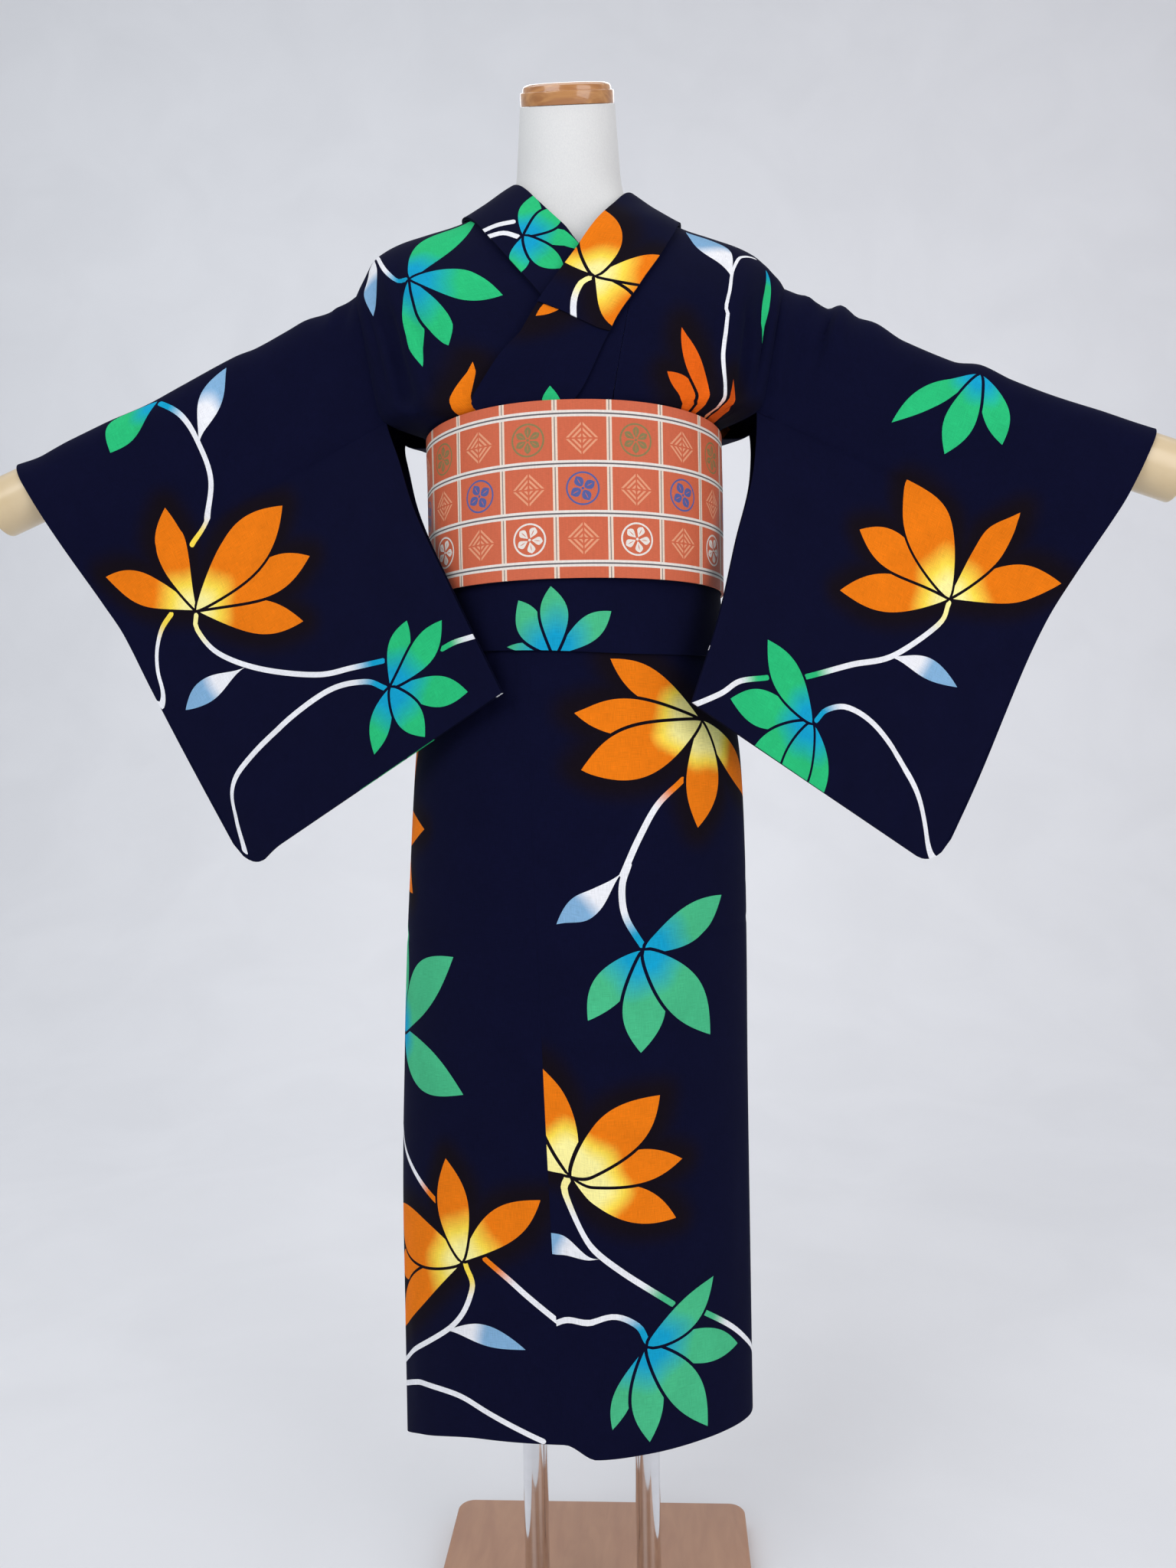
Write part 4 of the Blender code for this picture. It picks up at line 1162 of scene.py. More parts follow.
SKIRTS = {
    "body_right_skirt_front": skirt_panel(
        fixed(EDGE), lambda high: okumi_seam(high) - EDGE,
        lambda angle: ease(*RIGHT_EDGE_RISES, angle), "over",
    ),
    "okumi_right_skirt": skirt_panel(
        lambda high: okumi_seam(high) + EDGE, fixed(186), level_layer(1), "over"
    ),
    "body_left_skirt_front": skirt_panel(fixed(82 + EDGE), fixed(180 - EDGE), level_layer(0), "under"),
    "okumi_left_skirt": skirt_panel(fixed(20), fixed(82 - EDGE), level_layer(0), "under"),
    "body_left_skirt_back": skirt_panel(fixed(180 + EDGE), fixed(270 - EDGE), level_layer(0), "under"),
    "body_right_skirt_back": skirt_panel(fixed(270 + EDGE), fixed(360 - EDGE), level_layer(0), "under"),
}
TUCKS = {"waist_tuck_front": tuck_panel(0.15, 186), "waist_tuck_back": tuck_panel(186.3, 359.85)}
print("skirt panels:", {name: round(panel[0][0], 3) for name, panel in SKIRTS.items()})

# %% Size and drape of the sash
SASH_LOW_Z, SASH_HIGH_Z = 1.054, 1.212
SASH_HALF_WIDTH = 0.1440
SASH_MIDDLE_X = 0.0009
SASH_HALF_DEPTH = 0.1371
SASH_POWER = 2.2
SASH_START = 240
SASH_LAP = 45
SASH_STEPS = 811
LAP_GAP = 0.0006
LAP_CLIMBS = (322, 352)  # degrees from its start over which the sash climbs onto its own lap
SASH_RISE = Table(  # how far its edges stand above their level
    "angle top low",
    (0, -0.0040, 0.0010),
    (90, 0.0045, 0.0045),
    (180, -0.0040, 0.0010),
    (360, -0.0040, 0.0010),
)


def sash_oval(angle, lift):
    c, n = np.cos(np.radians(angle)), np.sin(np.radians(angle))
    x = (SASH_HALF_WIDTH + lift) * np.sign(c) * np.abs(c) ** (2 / SASH_POWER)
    y = -(SASH_HALF_DEPTH + lift) * np.sign(n) * np.abs(n) ** (2 / SASH_POWER)
    return SASH_MIDDLE_X + x, y


sash_angles = np.linspace(SASH_START, SASH_START + 360 + SASH_LAP, SASH_STEPS)
sash_steps = np.hypot(*(np.diff(line) for line in sash_oval(sash_angles, 0)))
sash_run = np.concatenate([[0], np.cumsum(sash_steps)])
SASH_SIZE = (sash_run[-1], SASH_HIGH_Z - SASH_LOW_Z)


def sash_place(s, t, crease):
    angle = np.interp(s * SASH_SIZE[0], sash_run, sash_angles)
    lift = (SASH_WALL + LAP_GAP) * ease(*LAP_CLIMBS, angle - SASH_START) + crease
    top = SASH_HIGH_Z + SASH_RISE.read("top", angle % 360)
    low = SASH_LOW_Z + SASH_RISE.read("low", angle % 360)
    return np.stack([*sash_oval(angle, lift), top + (low - top) * t], -1)


print("sash, flat:", np.round(SASH_SIZE, 3))

# %% [markdown]
# ## The sash's cloth
#
# The sash is woven, not dyed: a terracotta satin with ribbed double lines that cross in squares.
# The squares hold small roundels and pale diamonds in turn. The lines and diamonds repeat evenly,
# so shader nodes work them out from the flat cloth's own sizes. The roundels have free shapes, so
# they are outlines in the mesh, as the flowers are.

# %% Sizes and threads of the sash
SASH_DYE = (0.640, 0.132, 0.058)
PALE_THREAD = (0.860, 0.400, 0.230)
CREAM_THREAD = (0.860, 0.690, 0.560)
WHITE_THREAD = (0.840, 0.780, 0.720)
GREY_THREAD = (0.120, 0.105, 0.115)
OLIVE_THREAD = (0.250, 0.200, 0.075)
BLUE_THREAD = (0.085, 0.110, 0.330)
UPRIGHT_AT, UPRIGHT_PITCH = 0.538, 0.0484  # the upright lines, along the sash
LEVEL_AT, LEVEL_PITCH = 0.0122, 0.0443  # the level lines, down from its top edge
UPRIGHT_HALF, UPRIGHT_CORE = 0.0024, 0.0005
LEVEL_HALF, LEVEL_CORE = 0.0029, 0.0007
DIAMOND, DIAMOND_PITCH, DIAMOND_CROSS = 0.0150, 0.0050, 0.0007
SOFT_EDGE = 0.0003
print("squares along the sash:", round(SASH_SIZE[0] / UPRIGHT_PITCH, 1))


# %% The sash's woven finish
def woven_sash(name):
    made = new_finish(name, 0.62, Specular_IOR_Level=0.28, Sheen_Weight=0.05, Sheen_Roughness=0.4)
    shader, add, link = nodes_of(made)
    flat = add("ShaderNodeUVMap", uv_map="flat")
    split = add("ShaderNodeSeparateXYZ")
    link(flat.outputs["UV"], split.inputs["Vector"])

    def do(operation, first, second=None, third=None):
        return math_node(add, link, operation, first, second, third)

    def from_nearest(axis, first, pitch):
        """The distance to the nearest of evenly spaced lines."""
        return do("ABSOLUTE", do("WRAP", do("SUBTRACT", axis, first), pitch / 2, -pitch / 2))

    def within(value, reach, soft=SOFT_EDGE):
        """1 where a value is under a reach and 0 past it."""
        edge = add("ShaderNodeMapRange", interpolation_type="SMOOTHSTEP")
        edge.inputs["From Min"].default_value = reach + soft / 2
        edge.inputs["From Max"].default_value = reach - soft / 2
        link(value, edge.inputs["Value"])
        return edge.outputs["Result"]

    def threads(stretch, detail):
        scale = add("ShaderNodeMapping")
        scale.inputs["Scale"].default_value = stretch
        link(flat.outputs["UV"], scale.inputs["Vector"])
        noise = add("ShaderNodeTexNoise", noise_dimensions="2D")
        noise.inputs["Scale"].default_value = 1
        noise.inputs["Detail"].default_value = detail
        link(scale.outputs["Vector"], noise.inputs["Vector"])
        return noise.outputs["Fac"]

    def woven_in(under, thread, share):
        layer = add("ShaderNodeMix", data_type="RGBA")
        layer.inputs["B"].default_value = (*thread, 1)
        link(under, layer.inputs["A"])
        link(share, layer.inputs["Factor"])
        return layer.outputs["Result"]

    along, down = split.outputs["X"], split.outputs["Y"]
    from_upright = from_nearest(along, UPRIGHT_AT, UPRIGHT_PITCH)
    from_level = from_nearest(down, LEVEL_AT, LEVEL_PITCH)
    from_middle = from_nearest(along, UPRIGHT_AT + UPRIGHT_PITCH / 2, UPRIGHT_PITCH)
    from_centre = from_nearest(down, LEVEL_AT + LEVEL_PITCH / 2, LEVEL_PITCH)
    column = do("FLOOR", do("DIVIDE", do("SUBTRACT", along, UPRIGHT_AT), UPRIGHT_PITCH))
    row = do("FLOOR", do("DIVIDE", do("SUBTRACT", down, LEVEL_AT), LEVEL_PITCH))
    odd = do("FLOORED_MODULO", do("ADD", column, row), 2)
    whole_row = within(do("ABSOLUTE", do("SUBTRACT", row, 1)), 1.5)
    away = do("ADD", from_middle, from_centre)
    chevrons = do("SINE", do("MULTIPLY", away, 2 * math.pi / DIAMOND_PITCH))
    cross = do("MINIMUM", from_middle, from_centre)
    drawn = do("MULTIPLY", within(chevrons, 0.0, 0.5), within(away, DIAMOND))
    drawn = do("MULTIPLY", drawn, do("SUBTRACT", 1, within(cross, DIAMOND_CROSS)))
    diamond = do("MULTIPLY", do("MULTIPLY", drawn, odd), whole_row)

    dye = add("ShaderNodeAttribute", attribute_name="dye")
    color = woven_in(dye.outputs["Color"], PALE_THREAD, do("MULTIPLY", diamond, 0.8))
    color = woven_in(color, CREAM_THREAD, within(from_upright, UPRIGHT_HALF))
    color = woven_in(color, GREY_THREAD, do("MULTIPLY", within(from_upright, UPRIGHT_CORE), 0.8))
    color = woven_in(color, WHITE_THREAD, within(from_level, LEVEL_HALF))
    color = woven_in(color, GREY_THREAD, within(from_level, LEVEL_CORE))
    ribs = threads((260, 3400, 1), 2)
    slubs = threads((900, 60, 1), 2)
    shade = do("MULTIPLY_ADD", ribs, 0.34, 0.74)
    shade = do("MULTIPLY", shade, do("MULTIPLY_ADD", slubs, 0.18, 0.91))
    tint = add("ShaderNodeMix", data_type="RGBA", blend_type="MULTIPLY")
    tint.inputs["Factor"].default_value = 1
    link(color, tint.inputs["A"])
    link(shade, tint.inputs["B"])
    link(tint.outputs["Result"], shader.inputs["Base Color"])
    raised = do("MAXIMUM", within(from_upright, UPRIGHT_HALF), within(from_level, LEVEL_HALF))
    height = do("ADD", do("MULTIPLY", ribs, 0.5), do("MAXIMUM", raised, do("MULTIPLY", diamond, 0.6)))
    relief = add("ShaderNodeBump")
    relief.inputs["Strength"].default_value = 0.35
    relief.inputs["Distance"].default_value = 0.0004
    link(height, relief.inputs["Height"])
    link(relief.outputs["Normal"], shader.inputs["Normal"])
    return made


brocade = woven_sash("woven_sash")
print("finish:", brocade.name)


# %% Roundels of the sash
ROUNDEL = 0.0150
RING = 0.0016
BEAD, BEAD_GAP = 0.0013, 0.0021
PETAL_FROM, PETAL_TO, PETAL_GAP = 0.0016, 0.0122, 0.0006
LINE_FROM, LINE_TO, LINE_WIDTH = 0.0040, 0.0100, 0.0007
FIRST_TURN = 0.5
SQUARES_BEFORE, SQUARES_AFTER = 11, 10  # of the upright line the squares are counted from


def plain(dye):
    return lambda at: np.tile(np.array(dye), (len(at), 1))


def disc(spot, radius, dye, count=44):
    turns = np.linspace(0, 2 * math.pi, count, endpoint=False)
    return Print(spot + radius * np.stack([np.cos(turns), np.sin(turns)], -1), plain(dye))


def rosette(spot, thread, petals, width, fullest):
    """Small petals with a vein, round a bead and inside a ring."""
    made = [disc(spot, BEAD, thread, 10), disc(spot, BEAD_GAP, SASH_DYE, 14)]
    for turn in np.linspace(FIRST_TURN, FIRST_TURN + 2 * math.pi, petals, endpoint=False):
        way = np.array((math.cos(turn), math.sin(turn)))
        line = petal(spot + LINE_FROM * way, spot + LINE_TO * way, LINE_WIDTH)
        made.append(Print(line, plain(SASH_DYE)))
        shape = petal(spot + PETAL_FROM * way, spot + PETAL_TO * way, width, 0, fullest)
        made.append(Print(shape, plain(thread), grown(shape, PETAL_GAP)))
    return made + [disc(spot, ROUNDEL - RING, SASH_DYE), disc(spot, ROUNDEL, thread)]


ROSETTES = (  # each is a row's thread, and its petals' count, width and fullest place
    (OLIVE_THREAD, 6, 0.0062, 0.62),
    (BLUE_THREAD, 4, 0.0086, 0.52),
    (WHITE_THREAD, 5, 0.0074, 0.66),
)
SASH_PRINT = []
for row, (thread, petals, width, fullest) in enumerate(ROSETTES):
    for column in range(-SQUARES_BEFORE, SQUARES_AFTER):
        if (row + column) % 2 == 0:
            across = UPRIGHT_AT + (column + 0.5) * UPRIGHT_PITCH
            down = LEVEL_AT + (row + 0.5) * LEVEL_PITCH
            SASH_PRINT += rosette(np.array((across, down)), thread, petals, width, fullest)
print("prints of the roundels:", len(SASH_PRINT))

# %% [markdown]
# ## The print of each panel
#
# Each list below is the print that shows on one panel, in metres on the flat cloth.
# A bolt is printed with one long repeat, so the hidden panels carry the same motifs, turned and
# moved along.

# %% Print of the sleeves
LEFT_SLEEVE_PRINT = join(
    spray(
        (0.108, 0.254), FLOWER_SHADES,
        (0.247, 0.304, 0.055, -0.001, 0.59),
        (0.256, 0.237, 0.038, -0.002, 0.66),
        (0.220, 0.181, 0.035, 0.000, 0.60),
        (0.130, 0.363, 0.035, 0.009, 0.61),
        (0.024, 0.336, 0.035, -0.002, 0.61),
    ),
    spray(
        (0.278, 0.071), LEAF_SHADES,
        (0.288, 0.007, 0.031, -0.001, 0.54),
        (0.362, 0.101, 0.029, -0.004, 0.61),
        (0.353, 0.021, 0.032, -0.001, 0.60),
        (0.226, 0.022, 0.024, -0.001, 0.54),
        (0.327, 0.122, 0.025, 0.002, 0.60),
    ),
    spray((0.166, 0.470), LEAF_SHADES, (0.104, 0.436, 0.038, -0.008, 0.56), reach=0.7),
    stem((0.078, 0.265), (0.055, 0.256), (0.034, 0.243), (0.021, 0.226), (0.012, 0.201),
         (-0.010, 0.170), start=YELLOW_DYE),
    stem((0.105, 0.249), (0.099, 0.236), (0.110, 0.203), (0.148, 0.165), (0.206, 0.127),
         (0.247, 0.112), (0.283, 0.100), start=PALE_YELLOW_DYE, end=CYAN_DYE),
    stem((0.272, 0.074), (0.254, 0.092), (0.206, 0.106), (0.117, 0.099), (0.048, 0.080),
         (0.024, 0.050), (0.010, 0.010), start=CYAN_DYE),
    stem((0.349, 0.075), (0.366, 0.073), (0.395, 0.064), start=GREEN_DYE),
    stem((0.169, 0.463), (0.185, 0.437), (0.191, 0.406), (0.188, 0.365), (0.160, 0.330),
         (0.136, 0.316), start=CYAN_DYE, end=YELLOW_DYE),
    bud((0.135, 0.174), (0.034, 0.175), 0.024, -0.002),
    bud((0.189, 0.400), (0.242, 0.461), 0.025, 0.002),
)
RIGHT_SLEEVE_PRINT = join(
    spray(
        (0.264, 0.246), FLOWER_SHADES,
        (0.175, 0.337, 0.055, -0.001, 0.55),
        (0.297, 0.353, 0.030, -0.005, 0.61),
        (0.377, 0.309, 0.038, 0.006, 0.58),
        (0.137, 0.264, 0.040, -0.003, 0.66),
        (0.134, 0.194, 0.039, -0.001, 0.56),
    ),
    spray(
        (0.203, 0.459), LEAF_SHADES,
        (0.198, 0.375, 0.031, -0.001, 0.58),
        (0.247, 0.404, 0.026, 0.002, 0.54),
        (0.135, 0.384, 0.022, -0.006, 0.52),
        reach=0.7,
    ),
    spray(
        (0.149, 0.056), LEAF_SHADES,
        (0.064, 0.109, 0.038, 0.002, 0.56),
        (0.155, -0.044, 0.038, -0.002, 0.54),
        (0.092, -0.055, 0.041, -0.007, 0.53),
        (0.042, 0.028, 0.040, 0.000, 0.60),
        (0.192, -0.026, 0.029, 0.007, 0.54),
    ),
    stem((0.266, 0.241), (0.262, 0.215), (0.219, 0.162), (0.171, 0.131), (0.123, 0.096),
         start=PALE_YELLOW_DYE, end=GREEN_DYE),
    bud((0.211, 0.158), (0.310, 0.168), 0.021, 0.006),
    stem((0.153, 0.061), (0.161, 0.077), (0.186, 0.091), (0.230, 0.089), (0.291, 0.065),
         (0.337, 0.035), (0.380, -0.008), start=CYAN_DYE),
    stem((0.077, 0.072), (0.046, 0.051), (0.029, 0.027), (0.002, -0.002), (-0.009, -0.010),
         start=GREEN_DYE),
)
print("prints of the sleeves:", len(LEFT_SLEEVE_PRINT), len(RIGHT_SLEEVE_PRINT))

# %% Print of the upper body and the collars
def blade(base, tip, width, bend, fullest, color):
    """One petal of a flower that lies hidden under the sash."""
    outline = petal(base, tip, width, bend, fullest)
    return [Print(outline, plain(color), grown(outline, VEIN), warm=True)]


BODY_LEFT_PRINT = join(
    spray(
        (0.102, 0.255), LEAF_SHADES,
        (0.166, 0.217, 0.034, 0.005, 0.58),
        (0.109, 0.187, 0.025, -0.001, 0.62),
        (0.078, 0.170, 0.021, -0.006, 0.51),
        (0.191, 0.334, 0.050, 0.009, 0.56),
    ),
    stem((0.099, 0.256), (0.083, 0.264), (0.068, 0.297), (0.055, 0.350), start=CYAN_DYE),
    bud((0.052, 0.350), (0.034, 0.237), 0.030, 0.002),
    blade((0.066, 0.070), (0.120, 0.168), 0.017, -0.0015, 0.50, ORANGE_DYE),
)
BODY_RIGHT_PRINT = join(
    blade((0.125, 0.100), (0.054, 0.195), 0.017, 0.004, 0.66, RED_ORANGE_DYE),
    blade((0.118, 0.090), (0.047, 0.152), 0.016, -0.006, 0.74, RED_ORANGE_DYE),
    # this petal lies folded, and its darker orange is painted shade
    blade((0.180, 0.118), (0.127, 0.153), 0.012, 0.016, 0.62, FOLD_SHADE_ORANGE_DYE),
    bud((0.098, 0.256), (0.027, 0.334), 0.044, -0.009),
    stem((0.126, 0.334), (0.108, 0.314), (0.099, 0.299), (0.095, 0.269), (0.102, 0.238),
         (0.106, 0.200), (0.108, 0.171), (0.116, 0.148), (0.126, 0.127), (0.140, 0.108),
         end=ORANGE_DYE, width=0.0044),
    spray((0.146, 0.325), LEAF_SHADES, (0.168, 0.198, 0.017, 0.004, 0.55)),
)
COLLAR_PRINT = join(
    spray((0.079, -0.010), LEAF_SHADES, (0.048, 0.053, 0.017, 0.003, 0.50)),
    spray((0.030, 0.138), FLOWER_SHADES, (0.005, 0.114, 0.012, -0.004, 0.59), reach=0.2),
)
OVER_COLLAR_PRINT = join(
    spray(
        (0.031, 0.046), FLOWER_SHADES,
        (-0.001, 0.129, 0.036, -0.002, 0.52),
        (0.104, 0.090, 0.036, 0.001, 0.60),
        (0.088, 0.007, 0.029, 0.002, 0.60),
        (0.110, 0.040, 0.030, 0.000, 0.62),
        (-0.018, 0.072, 0.022, 0.000, 0.60),
        reach=0.8,
    ),
    stem((0.030, 0.043), (0.025, 0.034), (0.028, 0.016), (0.038, -0.006), start=PALE_YELLOW_DYE),
    spray(
        (0.041, 0.604), LEAF_SHADES,
        (0.034, 0.658, 0.025, -0.003, 0.55),
        (-0.012, 0.600, 0.026, -0.001, 0.62),
        (0.000, 0.651, 0.020, 0.005, 0.50),
        (-0.001, 0.564, 0.025, -0.001, 0.54),
        (0.074, 0.634, 0.021, -0.001, 0.58),
        reach=0.75,
    ),
    stem((0.074, 0.568), (0.057, 0.573), (0.039, 0.582)),
    stem((0.074, 0.578), (0.056, 0.587), (0.047, 0.600)),
)
print("prints of the chest:", len(BODY_LEFT_PRINT) + len(BODY_RIGHT_PRINT) + len(OVER_COLLAR_PRINT))

# %% Print of the skirt and the tuck
TUCK_PRINT = spray(
    (0.264, 0.106), SOFT_LEAF_SHADES,
    (0.267, 0.045, 0.028, -0.002, 0.60),
    (0.207, 0.066, 0.022, 0.000, 0.60),
    (0.301, 0.057, 0.027, 0.004, 0.60),
    (0.313, 0.099, 0.009, -0.002, 0.56),
)
SKIRT_RIGHT_PRINT = join(
    spray(
        (0.104, 0.167), PALE_FLOWER_SHADES,
        (0.219, 0.209, 0.046, 0.002, 0.60),
        (0.223, 0.158, 0.034, 0.000, 0.62),
        (0.189, 0.108, 0.031, 0.001, 0.60),
        (0.117, 0.267, 0.040, 0.004, 0.54),
        (0.015, 0.245, 0.030, 0.000, 0.52),
    ),
    spray(
        (0.173, 0.377), SOFT_LEAF_SHADES,
        (0.108, 0.467, 0.040, 0.002, 0.52),
        (0.179, 0.473, 0.038, 0.002, 0.56),
        (0.222, 0.439, 0.030, -0.004, 0.50),
        (0.089, 0.334, 0.034, -0.002, 0.52),
    ),
    spray(
        (0.241, 0.594), PALE_FLOWER_SHADES,
        (0.163, 0.516, 0.043, 0.004, 0.58),
        (0.266, 0.487, 0.029, -0.003, 0.50),
        (0.287, 0.559, 0.028, -0.001, 0.52),
        (0.143, 0.582, 0.033, 0.005, 0.57),
        (0.151, 0.639, 0.034, 0.001, 0.55),
    ),
    spray(
        (0.182, 0.761), SOFT_LEAF_SHADES,
        (0.110, 0.708, 0.030, -0.005, 0.50),
        (0.122, 0.858, 0.036, 0.003, 0.52),
        (0.073, 0.787, 0.035, 0.000, 0.52),
        (0.184, 0.858, 0.030, -0.001, 0.55),
        (0.217, 0.840, 0.018, -0.003, 0.60),
    ),
    stem((0.131, 0.221), (0.156, 0.242), (0.174, 0.272), (0.189, 0.305), start=ORANGE_DYE),
    stem((0.184, 0.296), (0.190, 0.316), (0.188, 0.344), (0.174, 0.373), end=CYAN_DYE),
    bud((0.188, 0.301), (0.244, 0.355), 0.021, 0.001),
    stem((0.244, 0.597), (0.247, 0.614), (0.230, 0.653), (0.202, 0.684), (0.157, 0.724),
         start=PALE_YELLOW_DYE, end=SOFT_GREEN_DYE),
    bud((0.220, 0.669), (0.284, 0.658), 0.021, 0.003),
    stem((0.272, 0.751), (0.244, 0.738), (0.213, 0.727), (0.191, 0.739), (0.183, 0.756),
         end=CYAN_DYE),
    stem((0.123, 0.741), (0.080, 0.769), (0.041, 0.796), (-0.005, 0.825), start=SOFT_GREEN_DYE),
)
SKIRT_OKUMI_PRINT = join(
    spray(
        (0.300, 0.258), PALE_FLOWER_SHADES,
        (0.148, 0.264, 0.036, 0.000, 0.52),
        (0.185, 0.185, 0.036, 0.000, 0.52),
        (0.181, 0.326, 0.036, 0.000, 0.52),
    ),
    spray(
        (0.212, 0.462), SOFT_LEAF_SHADES,
        (0.092, 0.388, 0.050, 0.003, 0.52),
        (0.082, 0.522, 0.045, -0.002, 0.52),
        (0.215, 0.350, 0.050, 0.000, 0.52),
    ),
    spray(
        (0.090, 0.689), FLOWER_SHADES,
        (0.107, 0.586, 0.040, 0.001, 0.55),
        (0.245, 0.640, 0.050, 0.002, 0.50),
        (0.235, 0.765, 0.036, -0.004, 0.55),
        (0.245, 0.700, 0.036, 0.000, 0.52),
        (0.008, 0.622, 0.034, 0.002, 0.57),
    ),
    stem((0.230, 0.560), (0.170, 0.598), (0.123, 0.629), end=ORANGE_DYE),
    stem((0.086, 0.692), (0.080, 0.718), (0.109, 0.758), (0.198, 0.791), (0.245, 0.800),
         start=YELLOW_DYE),
    bud((0.120, 0.761), (0.029, 0.774), 0.021, 0.006),
    stem((0.064, 0.685), (0.042, 0.703), (0.024, 0.720), (-0.004, 0.746), start=ORANGE_DYE),
    stem((0.226, 0.821), (0.184, 0.818), (0.153, 0.817), (0.104, 0.826), (0.069, 0.842),
         (0.018, 0.867)),
)
print("prints of the skirt:", len(SKIRT_RIGHT_PRINT), len(SKIRT_OKUMI_PRINT))

# %% Print of the hidden sides
HALF_TURN = -np.eye(2)
SAME_WAY = np.eye(2)


def carried(prints, spot, turn=SAME_WAY):
    return [one.carried(np.array(spot), turn) for one in prints]


PRINTS = {
    "sleeve_left": LEFT_SLEEVE_PRINT + carried(RIGHT_SLEEVE_PRINT, SLEEVE_SIZE, HALF_TURN),
    "sleeve_right": RIGHT_SLEEVE_PRINT + carried(LEFT_SLEEVE_PRINT, SLEEVE_SIZE, HALF_TURN),
    "body_left_upper": BODY_LEFT_PRINT + carried(SKIRT_RIGHT_PRINT, (-0.060, 0.340)),
    "body_right_upper": BODY_RIGHT_PRINT + carried(LEFT_SLEEVE_PRINT, (-0.100, 0.420)),
    "collar": COLLAR_PRINT,
    "over_collar": OVER_COLLAR_PRINT,
    "waist_tuck_front": TUCK_PRINT,
    "waist_tuck_back": carried(TUCK_PRINT, (0.100, -0.020)),
    "body_right_skirt_front": SKIRT_RIGHT_PRINT,
    "okumi_right_skirt": SKIRT_OKUMI_PRINT,
    "body_left_skirt_front": carried(SKIRT_OKUMI_PRINT, (0.000, -0.080)),
    "okumi_left_skirt": carried(SKIRT_RIGHT_PRINT, (-0.060, -0.100)),
    "body_left_skirt_back": carried(SKIRT_RIGHT_PRINT, (-0.020, -0.060)),
    "body_right_skirt_back": carried(SKIRT_OKUMI_PRINT, (0.000, -0.030)),
}
print("panels with a print:", len(PRINTS))

# %% [markdown]
# ## Folds and creases
#
# Cotton keeps the lines it was folded on in its drawer, puckers where a sleeve is sewn to its
# armhole, and bulges softly at open edges. Each crease below is a short soft trough or ridge with
# its own length, depth and bow, placed one by one on the flat cloth.

# %% Creases of every panel
DRAWER_FOLD = 0.363  # where the skirt was folded in the drawer, down from its top edge


def level_fold(width, at, height=-0.0010):
    return (-0.1 * width, at, 1.1 * width, at + 0.004, 0.0045, height, 0.002)


